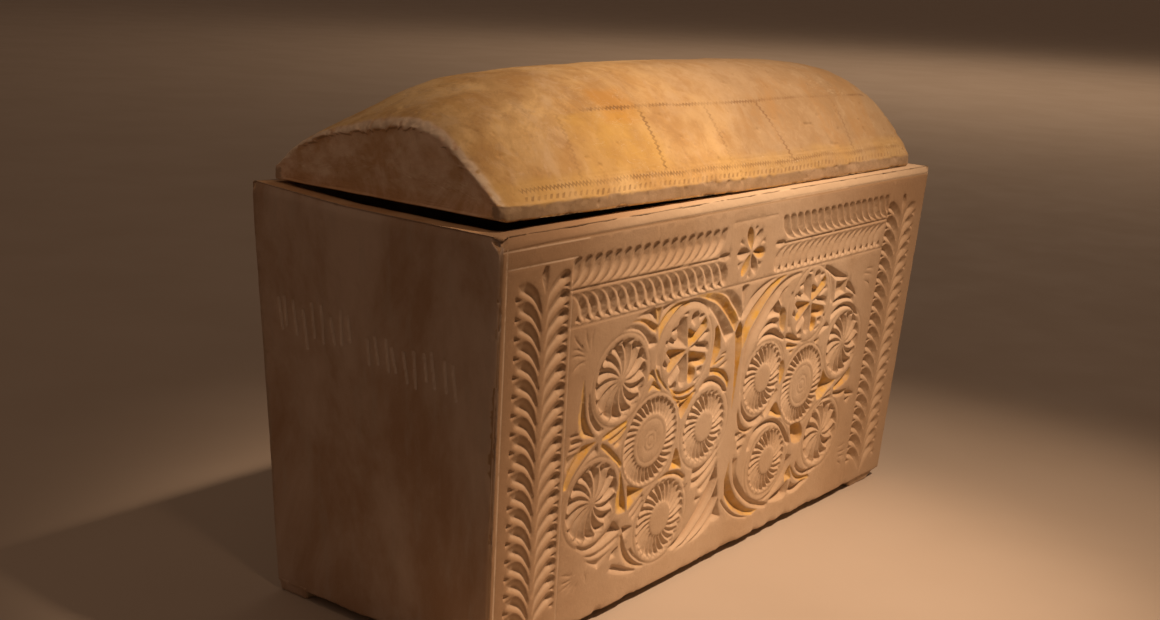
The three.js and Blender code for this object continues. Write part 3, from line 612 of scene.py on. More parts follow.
# ------------------------------------------------------------------ mesh helpers
def ring(hx, hy, r, counts, cx=0.0, cy=0.0):
    """Points round a rectangle with rounded corners, from the front left, counterclockwise seen from above."""
    nf, nr, nb, nl, nc = counts
    out, side, share = [], [], []

    def run(a, b, n, name):
        for s in np.linspace(0, 1, n):
            out.append((a[0] + (b[0] - a[0]) * s, a[1] + (b[1] - a[1]) * s))
            side.append(name)
            share.append(s)

    def corner(px, py, a0, name):
        for s in np.arange(1, nc + 1) / (nc + 1):
            a = math.radians(a0 + 90 * s)
            out.append((px + r * math.cos(a), py + r * math.sin(a)))
            side.append(name)
            share.append(s)

    run((-hx + r, -hy), (hx - r, -hy), nf, 0)
    corner(hx - r, -hy + r, -90, 4)
    run((hx, -hy + r), (hx, hy - r), nr, 1)
    corner(hx - r, hy - r, 0, 5)
    run((hx - r, hy), (-hx + r, hy), nb, 2)
    corner(-hx + r, hy - r, 90, 6)
    run((-hx, hy - r), (-hx, -hy + r), nl, 3)
    corner(-hx + r, -hy + r, 180, 7)
    xy = np.array(out) + (cx, cy)
    return xy, np.array(side), np.array(share)


def tube(rows, cap_low=True, cap_high=True):
    """Closed mesh from rings of points: rows is (R, M, 3), from the lowest ring up."""
    r, m = len(rows), len(rows[0])
    verts = np.concatenate(rows)
    j = np.arange(m)
    k = (j + 1) % m
    faces = []
    for i in range(r - 1):
        faces.append(np.column_stack([i * m + j, i * m + k, (i + 1) * m + k, (i + 1) * m + j]))
    faces = [tuple(f) for f in np.concatenate(faces).tolist()]
    if cap_low:
        faces.append(tuple(j[::-1].tolist()))
    if cap_high:
        faces.append(tuple(((r - 1) * m + j).tolist()))
    return verts, faces


def make(name, parts, target):
    """One object from closed bodies in millimetres, thinned to about target triangles."""
    verts, faces, n = [], [], 0
    for v, f in parts:
        verts.append(v)
        faces.extend(tuple(i + n for i in face) for face in f)
        n += len(v)
    mesh = bpy.data.meshes.new(name)
    mesh.from_pydata((np.concatenate(verts) / 1000).tolist(), [], faces)
    obj = bpy.data.objects.new(name, mesh)
    bpy.context.scene.collection.objects.link(obj)
    bm = bmesh.new()
    bm.from_mesh(mesh)
    bmesh.ops.recalc_face_normals(bm, faces=bm.faces[:])
    bmesh.ops.triangulate(bm, faces=bm.faces[:], quad_method="SHORT_EDGE", ngon_method="BEAUTY")
    bm.to_mesh(mesh)
    bm.free()
    count = len(mesh.polygons)
    if count > target:
        thin = obj.modifiers.new("thin", "DECIMATE")
        thin.ratio = target / count
        bpy.context.view_layer.update()
        done = bpy.data.meshes.new_from_object(obj.evaluated_get(bpy.context.evaluated_depsgraph_get()))
        obj.modifiers.clear()
        obj.data = done
        bpy.data.meshes.remove(mesh)
        done.name = name
    obj.data.polygons.foreach_set("use_smooth", [True] * len(obj.data.polygons))
    obj.data.update()
    print(name, "triangles", len(obj.data.polygons))
    return obj


def points(obj):
    co = np.zeros(len(obj.data.vertices) * 3, np.float32)
    obj.data.vertices.foreach_get("co", co)
    no = np.zeros(len(obj.data.vertices) * 3, np.float32)
    obj.data.vertices.foreach_get("normal", no)
    return co.reshape(-1, 3).astype(float) * 1000, no.reshape(-1, 3).astype(float)


def mark(obj, name, values):
    a = obj.data.attributes.new(name, "FLOAT", "POINT")
    a.data.foreach_set("value", np.clip(values, 0, 1).astype(np.float32))


# ------------------------------------------------------------------ chest
FINE = 0.95
COUNTS = (int(734 / FINE), 46, 100, int(274 / (FINE * 1.4)), 4)


def lifted(x, y):
    """How far the rim rises at its back left corner."""
    a = np.clip((x + HX) / 190, 0, 2)
    b = np.clip((HY - y) / 110, 0, 2)
    return 7 * np.where(a < 1, 1 - 0.88 * a, np.maximum(0, 0.12 * (1 - (a - 1)))) * np.where(
        b < 1, 1 - 0.9 * b, np.maximum(0, 0.1 * (1 - (b - 1) * 1.2)))


def chest_parts():
    rows = []
    lean_f = np.array((0, -BODY_H, -15)) / FACE
    lean_l = np.array((-BODY_H, 0, -20)) / math.hypot(20, BODY_H)
    # outside, from the bottom edge up
    ts = [FACE + 0.01, FACE - 0.5, FACE - 1.6]
    insets = [2.4, 0.9, 0.15]
    body = np.arange(FACE - 2.6, 2.2, -FINE)
    ts += list(body)
    insets += [0] * len(body)
    ts += [1.4, 0.7, 0.25]
    insets += [0.1, 0.35, 0.8]
    for t, inset in zip(ts, insets):
        s = t / FACE
        z = RIM_Z - BODY_H * min(s, 1.0)
        hx, hy = HX - 20 * s - inset, HY - 15 * s - inset
        xy, side, share = ring(hx, hy, 2.6, COUNTS)
        p = np.column_stack([xy, np.full(len(xy), z)])
        p[:, 2] += lifted(p[:, 0], p[:, 1]) * smooth(1 - t / 60.0)
        n = np.zeros_like(p)
        h = np.zeros(len(p))
        f = (side == 0)
        n[f] = lean_f
        h[f] = front.at(p[f, 0] + HX, np.full(f.sum(), t))
        l = (side == 3)
        n[l] = lean_l
        h[l] = end_l.at(HY - p[l, 1], np.full(l.sum(), t))
        r = (side == 1)
        n[r] = lean_l * (-1, 1, 1)
        b = (side == 2)
        n[b] = lean_f * (1, -1, 1)
        for name, sx, sy in ((4, 1, -1), (5, 1, 1), (6, -1, 1), (7, -1, -1)):
            c = side == name
            n[c] = np.array((sx * 0.707, sy * 0.707, -0.03))
        # soft unevenness of the dressed stone, and a worn, nibbled edge at the corners and the rim
        flat = np.where(f, 0.35, 1.0)
        h = h - 2.4 * math.exp(-(t / 5.0) ** 2) * (f | b | l | r)
        h = h + flat * (0.55 * noise(p, 70, 1) + 0.22 * noise(p, 17, 2) - 0.25) + 0.10 * noise(p, 4.5, 3) - 0.1
        to_edge = np.where(f | b, HX - 20 * s - np.abs(p[:, 0]), np.where(l | r, HY - 15 * s - np.abs(p[:, 1]), 0.0))
        nib = np.maximum(0, noise(p * (1, 1, .6), 9, 4) + 0.35 * noise(p, 3.2, 5) - 0.28)
        h -= np.where(side >= 4, 0.5 + 2.2 * nib, 1.6 * nib * np.exp(-np.maximum(to_edge, 0) / 2.2))
        if t < 9:
            h -= np.maximum(0, noise(p, 13, 6) + 0.4 * noise(p, 4, 7) - 0.2) * 1.6 * math.exp(-t / 2.4)
        if t > FACE - 12:
            h -= np.maximum(0, noise(p, 15, 8) + 0.4 * noise(p, 5, 9) - 0.05) * 3.0 * math.exp((t - FACE) / 3.5)
        # the front left corner of the rim is knocked off
        corner = np.array((-HX, -HY, RIM_Z))
        gone = 13 - (np.abs(p - corner) @ np.array((1.0, 1.0, .75)))
        h = np.minimum(h, 0.4)
        p = p + n * h[:, None]
        p += np.array((0.58, 0.58, -0.58)) * np.maximum(0, gone + 2 * noise(p, 5, 10))[:, None] * 0.55
        rows.append(p)
    # across the rim
    for share_in, dz in ((0.07, 0.0), (0.18, 0.05), (0.33, -0.1), (0.5, -0.05), (0.67, 0.0), (0.82, 0.05), (0.93, -0.2), (0.985, -0.9)):
        a, _, _ = ring(HX - 1.0, HY - 1.0, 2.6, COUNTS)
        b, _, _ = ring(HX - WALL, HY - WALL, 9, COUNTS)
        xy = a + (b - a) * share_in
        p = np.column_stack([xy, np.full(len(xy), RIM_Z + dz)])
        p[:, 2] += lifted(p[:, 0], p[:, 1]) - 0.25 + 0.18 * noise(p, 24, 11) - 0.3 * np.maximum(0, noise(p, 9, 12))
        corner = np.array((-HX, -HY, RIM_Z))
        gone = 13 - (np.abs(p - corner) @ np.array((1.0, 1.0, .75)))
        p += np.array((0.3, 0.3, -0.9)) * np.maximum(0, gone + 2 * noise(p, 5, 10))[:, None] * 0.55
        rows.append(p)
    # down the inside to the floor
    floor_z = FOOT_H + FLOOR_T
    zs = [363.2, 360, 352, 335, 310, 280, 240, 200, 160, 120, 90, 70, 56, 47, 41.5, floor_z]
    extra = [0, 0, 0, 0, 0, 0, 0, 0, 0, 0, 0, 0, 0.6, 2.2, 4.5, 8]
    for z, e in zip(zs, extra):
        s = (RIM_Z - z) / BODY_H
        xy, _, _ = ring(HX - WALL - 20 * s - e, HY - WALL - 15 * s - e, 11, COUNTS)
        p = np.column_stack([xy, np.full(len(xy), z)])
        out = np.column_stack([xy, np.zeros(len(xy))])
        out /= np.linalg.norm(out, axis=1)[:, None]
        h = 0.9 * noise(p, 40, 13) + 0.4 * noise(p, 12, 14)
        if e < 5:
            p = p - out * (0.6 + 0.6 * h)[:, None]
        if z > 350:
            p[:, 2] += lifted(p[:, 0], p[:, 1]) * (z - 345) / 20
        rows.append(p)
    for k in (0.8, 0.5, 0.2, 0.03):
        p = rows[len(ts) + 8 + len(zs) - 1].copy()
        p[:, :2] *= k
        p[:, 2] = floor_z + 0.6 * noise(p, 45, 15)
        rows.append(p)
    # the underside closes below the first ring
    low = []
    for k in (0.03, 0.3, 0.65, 0.95):
        p = rows[0].copy()
        p[:, :2] *= k
        p[:, 2] = FOOT_H + 0.5 * (1 + noise(p, 30, 16)) * (k < 0.94)
        low.append(p)
    rows = low + rows
    parts = [tube(rows)]

    # feet: (lowest ring x0, x1, y0, y1), (highest ring ...)
    feet = [((-348, -304, -122, -88), (-351, -301, -124.5, -85)),
            ((284, 324, -122, -88), (282, 348, -124, -85)),
            ((304, 348, 88, 122), (301, 351, 85, 124.5)),
            ((-348, -304, 88, 122), (-351, -301, 85, 124.5))]
    count = (18, 14, 18, 14, 2)
    for low_box, high_box in feet:
        loops = []
        for z, inset in ((0.0, 1.6), (0.35, 0.7), (1.2, 0.1), (3, 0), (5, 0), (7, 0), (9, 0), (12, 0)):
            f = z / 12
            b = [a + (c - a) * f for a, c in zip(low_box, high_box)]
            xy, _, _ = ring((b[1] - b[0]) / 2 - inset, (b[3] - b[2]) / 2 - inset, 2.2, count, (b[0] + b[1]) / 2, (b[2] + b[3]) / 2)
            p = np.column_stack([xy, np.full(len(xy), z)])
            out = np.column_stack([xy - ((b[0] + b[1]) / 2, (b[2] + b[3]) / 2), np.zeros(len(xy))])
            out /= np.linalg.norm(out, axis=1)[:, None]
            p += out * (0.9 * noise(p, 8, 17) - 0.6 + 0.5 * noise(p, 3, 18))[:, None] * (0.4 if z < 1 else 1.0)
            loops.append(p)
        inner = loops[0].copy()
        c = inner.mean(0)
        inner[:, :2] = c[:2] + (inner[:, :2] - c[:2]) * 0.3
        parts.append(tube([inner] + loops))
    return parts


chest = make("chest_stone_body", chest_parts(), 188000)
co, no = points(chest)
xf = co[:, 0] + HX
tf = (RIM_Z - co[:, 2]) * FACE / BODY_H
on_front = (no[:, 1] < -0.2) & (co[:, 1] < -HY + 15 * tf / FACE + 9) & (co[:, 1] < -100)
depth = np.where(on_front, -front.at(xf, tf), 0)
mark(chest, "ochre", np.where(on_front, front.at(xf, tf, "ochre"), 0))
# how deep the front is cut here; it also sets the painted shade deep in the cuts
mark(chest, "hollow", np.where(on_front, depth / 4.5, 0))
mark(chest, "end", smooth((-no[:, 0] - 0.5) / 0.3) * (co[:, 0] < -330))
mark(chest, "scratch", smooth((-end_l.at(HY - co[:, 1], tf) - 0.1) / 0.4) * (co[:, 0] < -340) * (no[:, 0] < -0.6))
mark(chest, "rim", smooth((no[:, 2] - 0.5) / 0.4) * (co[:, 2] > 355))
# the inside of the chest, which is painted with shade
mark(chest, "inside", ((np.abs(co[:, 0]) < HX - WALL - 20 * tf / FACE + 3) & (np.abs(co[:, 1]) < HY - WALL - 15 * tf / FACE + 3)
                       & (co[:, 2] > 20) & (co[:, 2] < 364)).astype(float))

# ------------------------------------------------------------------ lid
LX0, LX1, LY0, LY1 = -352.0, 346.0, -126.0, 134.0
CROWN = np.array([(-352, 440), (-338, 447.5), (-320, 454), (-300, 459), (-250, 468), (-170, 474), (-70, 477),
                  (80, 477), (230, 475.5), (280, 472), (310, 468), (330, 463), (346, 457)], float)
WORN = np.array([(0, 0), (.05, .17), (.108, .37), (.204, .73), (.262, .89), (.358, 1), (.465, .96), (.573, .875),
                 (.696, .73), (.8, .585), (.888, .4), (.954, .19), (1, 0)], float)


def underside(x):
    return 365.5 + 6.8 * float(np.clip((60 - x) / 412, 0, 1)) ** 0.9


lid_sheet = Sheet(-354, 348, -1, 340, 0.9)   # (x, distance over the vault from the front lower edge)


def zigzag(points_, pitch, amp, half, deep, broken=0.0):
    """A small zigzag line along a path."""
    path = curve(points_, 8)
    step = np.hypot(*np.diff(path, axis=0).T)
    s = np.concatenate([[0], np.cumsum(step)])
    at = np.arange(0, s[-1], pitch / 2)
    x, t = np.interp(at, s, path[:, 0]), np.interp(at, s, path[:, 1])
    dx, dt = np.gradient(x), np.gradient(t)
    n = np.hypot(dx, dt)
    sign = np.where(np.arange(len(at)) % 2, 1, -1) * amp
    z = np.column_stack([x - dt / n * sign, t + dx / n * sign])
    for k, (a, b) in enumerate(zip(z[:-1], z[1:])):
        if TABLE[(k * 31 + int(abs(points_[0][0]))) & 4095] > -1 + 2 * broken:
            lid_sheet.line([a, b], half, deep * (0.75 + 0.25 * TABLE[(k * 17) & 4095]))


zigzag([(-192, 94), (-130, 92), (-30, 97), (60, 96), (140, 94), (230, 95), (318, 96)], 5.2, 1.3, 1.1, 0.7, 0.12)
zigzag([(-120, 88), (-121, 60), (-126, 30)], 5.0, 2.2, 1.2, 0.8, 0.1)
zigzag([(-14, 88), (-16, 60), (-17, 33)], 5.0, 2.2, 1.2, 0.7, 0.15)
zigzag([(80, 90), (88, 60), (94, 33)], 5.0, 2.2, 1.2, 0.7, 0.15)
zigzag([(230, 90), (228, 60), (224, 33)], 5.0, 2.0, 1.2, 0.6, 0.25)
zigzag([(-230, 86), (-236, 60), (-244, 36)], 5.0, 2.0, 1.1, 0.4, 0.5)
zigzag([(-30, 190), (80, 186), (200, 184), (300, 184)], 5.2, 1.4, 1.1, 0.5, 0.3)
for x in np.arange(-318, 322, 5.0):
    j = TABLE[int(x * 7) & 4095]
    if j > -0.86:
        lid_sheet.cut([(.8, [(x, 29 + j), (x + 3.6, 28.4 + j)]), (.8, [(x + 3.6, 28.4 + j), (x + 1.8, 24 + j)]), (.8, [(x + 1.8, 24 + j), (x, 29 + j)])], cap=1.0)
for x in np.arange(-322, 322, 7.4):
    j = TABLE[int(x * 5 + 99) & 4095]
    if j > -0.8:
        lid_sheet.line([(x, 15.5 + j * .5), (x + 4.5, 20 + j)], 1.5, 0.8 + 0.25 * j)
lid_sheet.line([(-330, 31.5), (-100, 31.2), (120, 31.4), (330, 32)], 0.9, 0.4)
for k in range(70):    # loose scratches
    x, w = -330 + 500 * rng.random() ** 1.3, 30 + 200 * rng.random()
    a, n = rng.uniform(-0.5, 0.5), rng.uniform(5, 26)
    lid_sheet.line([(x, w), (x + n * math.cos(a), w + n * math.sin(a))], 1.0, rng.uniform(0.25, 0.5))
lid_sheet.h *= 0.9
lid_sheet.blur(0.3)

OUT_N = 330


def lid_loop(x, inset=0.0, hollow=True):
    """One section of the lid: over the vault from the front lower edge to the back one, then back along the underside."""
    low = underside(x)
    edge = low + 12
    crown = np.interp(x, CROWN[:, 0], CROWN[:, 1])
    worn = 1 - float(smooth(np.array((x - LX0) / 95)))
    f = np.linspace(0, 1, 500)
    vault = 1 - np.abs(2 * f - 1) ** 2.4
    left = np.interp(f, WORN[:, 0], WORN[:, 1])
    k = np.hanning(41)
    left = np.convolve(np.pad(left, 20, mode="edge"), k / k.sum(), "valid") * (1 - np.exp(-np.minimum(f, 1 - f) / 0.02))
    y = LY0 + (LY1 - LY0) * f
    z = edge + (crown - edge) * (vault + (left - vault) * worn)
    y = np.concatenate([[LY0, LY0], y, [LY1, LY1]])
    z = np.concatenate([[low + 0.0, low + 6], z, [low + 6, low + 0.0]])
    s = np.concatenate([[0], np.cumsum(np.hypot(np.diff(y), np.diff(z)))])
    at = np.linspace(0, s[-1], OUT_N)
    yy, zz = np.interp(at, s, y), np.interp(at, s, z)
    # inside: rim, wall, hollow vault, wall, rim
    g = np.concatenate([np.linspace(0, 0.09, 4), np.linspace(0.105, 0.895, 26), np.linspace(0.91, 1, 4)])
    iy = LY1 - 2 + (LY0 - LY1 + 4) * g
    iz = np.full(len(g), low)
    if hollow:
        span = (x + 320) / 634
        rise = float(smooth(np.array(min(1, 4.5 * min(span, 1 - span) + 0.25))))
        roof = low + 14 + (477 - 42 - low - 14) * rise
        v = np.abs(2 * (g - 0.1) / 0.8 - 1)
        inner = low + 8 + (roof - low - 8) * (1 - np.clip(v, 0, 1) ** 2.4)
        iz = np.where((g > 0.1) & (g < 0.9), inner, low)
    yy = np.concatenate([yy, iy])
    zz = np.concatenate([zz, iz])
    if inset:
        cy, cz = 4.0, low + 30
        size = np.hypot(yy - cy, zz - cz)
        yy = yy - (yy - cy) / size * inset
        zz = np.where(np.arange(len(zz)) < OUT_N, zz - (zz - cz) / size * inset, zz)
        zz = np.maximum(zz, low + (0.3 * inset if inset > 0 else 0))
    return yy, zz, np.concatenate([at, np.full(len(g), -9.0)])


def lid_parts():
    step = 1.25
    stations = []
    for dx, inset in ((0.0, 4.6), (0.9, 3.2), (2.1, 1.9), (3.4, 0.9), (4.8, 0.3)):
        stations.append((LX0 + dx, inset, False))
    xs = np.arange(LX0 + 6.0, LX1 - 2.4, step)
    for x in xs:
        stations.append((x, 0.0, -319 < x < 313))
    for dx, inset in ((1.6, 0.4), (0.6, 1.2), (0.0, 2.4)):
        stations.append((LX1 - dx, inset, False))
    rows = []
    for x, inset, hollow in stations:
        yy, zz, at = lid_loop(x, inset, hollow)
        p = np.column_stack([np.full(len(yy), x), yy, zz])
        out = at > -1
        c = np.array((x, 4.0, underside(x) + 20))
        n = p - c
        n[:, 0] = 0
        n /= np.linalg.norm(n, axis=1)[:, None]
        h = 0.9 * noise(p, 60, 21) + 0.45 * noise(p, 19, 22) + 0.16 * noise(p, 6, 23) + 0.10 * noise(p, 2.6, 24) - 1.1
        total = at[OUT_N - 1]
        h += lid_sheet.at(np.full(len(at), x), np.clip(at, 0, 339))
        # pits, and the broken crest along the left end
        h -= 1.2 * np.maximum(0, noise(p, 7, 25) - 0.62) * 3
        from_end = x - LX0
        h -= np.maximum(0, noise(p * (0.6, 1, 1), 7, 26) + 0.8 * noise(p, 2.8, 27) + 0.15) * 2.8 * math.exp(-from_end / 4.5)
        low_edge = np.minimum(at, total - at)
        chip = np.maximum(0, noise(p, 12, 28) + 0.4 * noise(p, 5, 29) - 0.12)
        h -= np.where(out, chip * 2.6 * np.exp(-np.abs(low_edge - 11) / 4), 0)
        h -= np.where(out, chip * 1.5 * np.exp(-low_edge / 2.5) + 0.9 * np.exp(-low_edge / 0.9), 0)
        h -= np.maximum(0, noise(p, 10, 30) - 0.1) * 3 * math.exp(-(LX1 - x) / 4)
        move = np.where(out, h, 0)
        z0 = p[:, 2].copy()
        p = p + n * move[:, None]
        # nothing sinks below the lid's underside
        p[:, 2] = np.maximum(p[:, 2], underside(x))
        p[~out, 2] = z0[~out] + 0.25 * (1 + noise(p[~out], 20, 31))
        p[:, 1] = np.clip(p[:, 1], LY0, LY1)
        rows.append(p)
    # end faces: shrinking rings
    def face(first, shares, sign):
        made = []
        c = np.array((first[0, 0], 4.0, underside(first[0, 0]) + 26))
        for k in shares:
            p = c + (first - c) * k
            d = 0.7 * noise(p, 30, 32) + 0.5 * noise(p, 9, 33) + 0.2 * noise(p, 3.4, 34) - 0.9
            d = d * smooth(np.array((1 - k) / 0.08))
            p[:, 0] = first[:, 0] + sign * (d + 0.0)
            made.append(p)
        return made

    near = list(1 - np.arange(1, 12) * 0.014) + list(np.linspace(0.83, 0.04, 26))
    left = face(rows[0], near, -1)
    right_ = face(rows[-1], [0.98, 0.95, 0.9, 0.8, 0.7, 0.6, 0.5, 0.4, 0.3, 0.2, 0.1, 0.03], 1)
    rows = left[::-1] + rows + right_
    v, f = tube(rows)
    v[:, 0] = np.clip(v[:, 0], LX0 + 0.0, LX1)
    return [(v, f)]


lid = make("lid_stone_vault", lid_parts(), 170000)
co, no = points(lid)
low_z = np.array([underside(x) for x in co[:, 0]])
end_here = smooth((np.abs(no[:, 0]) - 0.45) / 0.25) * ((co[:, 0] < LX0 + 30) | (co[:, 0] > LX1 - 8))
mark(lid, "end", end_here)
# faces turned down and the hollow inside of the lid, which are painted with shade
mark(lid, "below", ((no[:, 2] < -0.4) | ((np.abs(co[:, 1] - 4) < 112) & (co[:, 2] < 435.5) & (no[:, 2] < 0) & (np.abs(co[:, 0]) < 322))).astype(float))
outside = (no[:, 2] > -0.3) & ~((np.abs(co[:, 1] - 4) < 112) & (co[:, 2] < 435.5) & (no[:, 2] < 0))
mark(lid, "side", smooth((12.6 + 1.2 * noise(co, 9, 40) - (co[:, 2] - low_z)) / 1.6) * (np.abs(co[:, 1] - 4) > 118) * outside)
# pale broken stone along the crest, and partly a painted highlight where its chips face up into the light
crest = np.exp(-np.maximum(co[:, 0] - LX0 - 3.8 - 2.4 * noise(co, 8, 43), 0) / 1.6) * smooth((no[:, 2] + 0.15) / 0.5) * smooth((co[:, 2] - low_z - 9) / 5)
mark(lid, "crest", crest * smooth((noise(co, 6, 41) + 0.5 * noise(co, 2.5, 42) + 0.6) / 0.5))
STATION = np.arange(LX0, LX1 + 1, 6.0)
WIDE = np.linspace(LY0, LY1, 261)
arcs = []
for x in STATION:
    yy, zz, at = lid_loop(float(x), 0.0, False)
    yy, at = yy[:OUT_N], at[:OUT_N]
    keep = np.concatenate([[True], np.diff(np.maximum.accumulate(yy)) > 1e-6])
    arcs.append(np.interp(WIDE, yy[keep], at[keep]))
arcs = np.array(arcs)


def arc_at(x, y):
    u = np.clip((x - STATION[0]) / 6.0, 0, len(STATION) - 1.001)
    v = np.clip((y - LY0) / (WIDE[1] - WIDE[0]), 0, len(WIDE) - 1.001)
    i, j = u.astype(int), v.astype(int)
    fu, fv = u - i, v - j
    return ((arcs[i, j] * (1 - fv) + arcs[i, j + 1] * fv) * (1 - fu)
            + (arcs[i + 1, j] * (1 - fv) + arcs[i + 1, j + 1] * fv) * fu)


w = arc_at(co[:, 0], co[:, 1])
# how deep the lid is cut at each point; it sets the painted shade in the cuts
cut_here = -lid_sheet.at(co[:, 0], np.clip(w, 0, 339)) * outside * (1 - end_here)
mark(lid, "cut", smooth((cut_here - 0.2) / 0.7))
mark(lid, "w", np.clip(w / 340, 0, 1))


# ------------------------------------------------------------------ materials
class Nodes:
    def __init__(self, name):
        self.material = bpy.data.materials.new(name)
        self.material.use_nodes = True
        self.tree = self.material.node_tree
        self.tree.nodes.clear()
        self.out = self.add("ShaderNodeOutputMaterial")
        self.bsdf = self.add("ShaderNodeBsdfPrincipled")
        self.tree.links.new(self.bsdf.outputs[0], self.out.inputs[0])
        self.place = self.add("ShaderNodeTexCoord").outputs["Object"]

    def add(self, kind, **settings):
        n = self.tree.nodes.new(kind)
        for k, v in settings.items():
            setattr(n, k, v)
        return n

    def link(self, a, b):
        self.tree.links.new(a, b)

    def noise(self, scale, detail=4.0, rough=0.55, stretch=None, distortion=0.0):
        n = self.add("ShaderNodeTexNoise")
        n.inputs["Scale"].default_value = scale
        n.inputs["Detail"].default_value = detail
        n.inputs["Roughness"].default_value = rough
        n.inputs["Distortion"].default_value = distortion
        if stretch:
            m = self.add("ShaderNodeMapping")
            m.inputs["Scale"].default_value = stretch
            self.link(self.place, m.inputs["Vector"])
            self.link(m.outputs[0], n.inputs["Vector"])
        else:
            self.link(self.place, n.inputs["Vector"])
        return n.outputs["Fac"]

    def ramp(self, value, low, high, to_low=0.0, to_high=1.0):
        n = self.add("ShaderNodeMapRange", interpolation_type="SMOOTHSTEP")
        n.inputs["From Min"].default_value = low
        n.inputs["From Max"].default_value = high
        n.inputs["To Min"].default_value = to_low
        n.inputs["To Max"].default_value = to_high
        self.link(value, n.inputs["Value"])
        return n.outputs["Result"]

    def math(self, op, a, b=None, clamp=False):
        n = self.add("ShaderNodeMath", operation=op, use_clamp=clamp)
        for slot, v in zip(n.inputs, (a, b)):
            if v is None:
                continue
            if isinstance(v, (int, float)):
                slot.default_value = v
            else:
                self.link(v, slot)
        return n.outputs[0]

    def mix(self, factor, a, b, kind="MIX"):
        n = self.add("ShaderNodeMix", data_type="RGBA", blend_type=kind)
        if isinstance(factor, (int, float)):
            n.inputs[0].default_value = factor
        else:
            self.link(factor, n.inputs[0])
        for slot, v in ((n.inputs[6], a), (n.inputs[7], b)):
            if isinstance(v, tuple):
                slot.default_value = (*v, 1)
            else:
                self.link(v, slot)
        return n.outputs[2]

    def attribute(self, name):
        return self.add("ShaderNodeAttribute", attribute_name=name).outputs["Fac"]

    def axis(self, vector, which):
        n = self.add("ShaderNodeSeparateXYZ")
        self.link(vector, n.inputs[0])
        return n.outputs[which]

    def bump(self, height, strength, distance, chain=None):
        n = self.add("ShaderNodeBump")
        n.inputs["Strength"].default_value = strength
        n.inputs["Distance"].default_value = distance
        self.link(height, n.inputs["Height"])
        if chain is not None:
            self.link(chain, n.inputs["Normal"])
        return n.outputs[0]

    def finish(self, colour, rough, normal, specular=0.25):
        self.link(colour, self.bsdf.inputs["Base Color"])
        self.link(rough, self.bsdf.inputs["Roughness"])
        self.link(normal, self.bsdf.inputs["Normal"])
        self.bsdf.inputs["Specular IOR Level"].default_value = specular
        return self.material


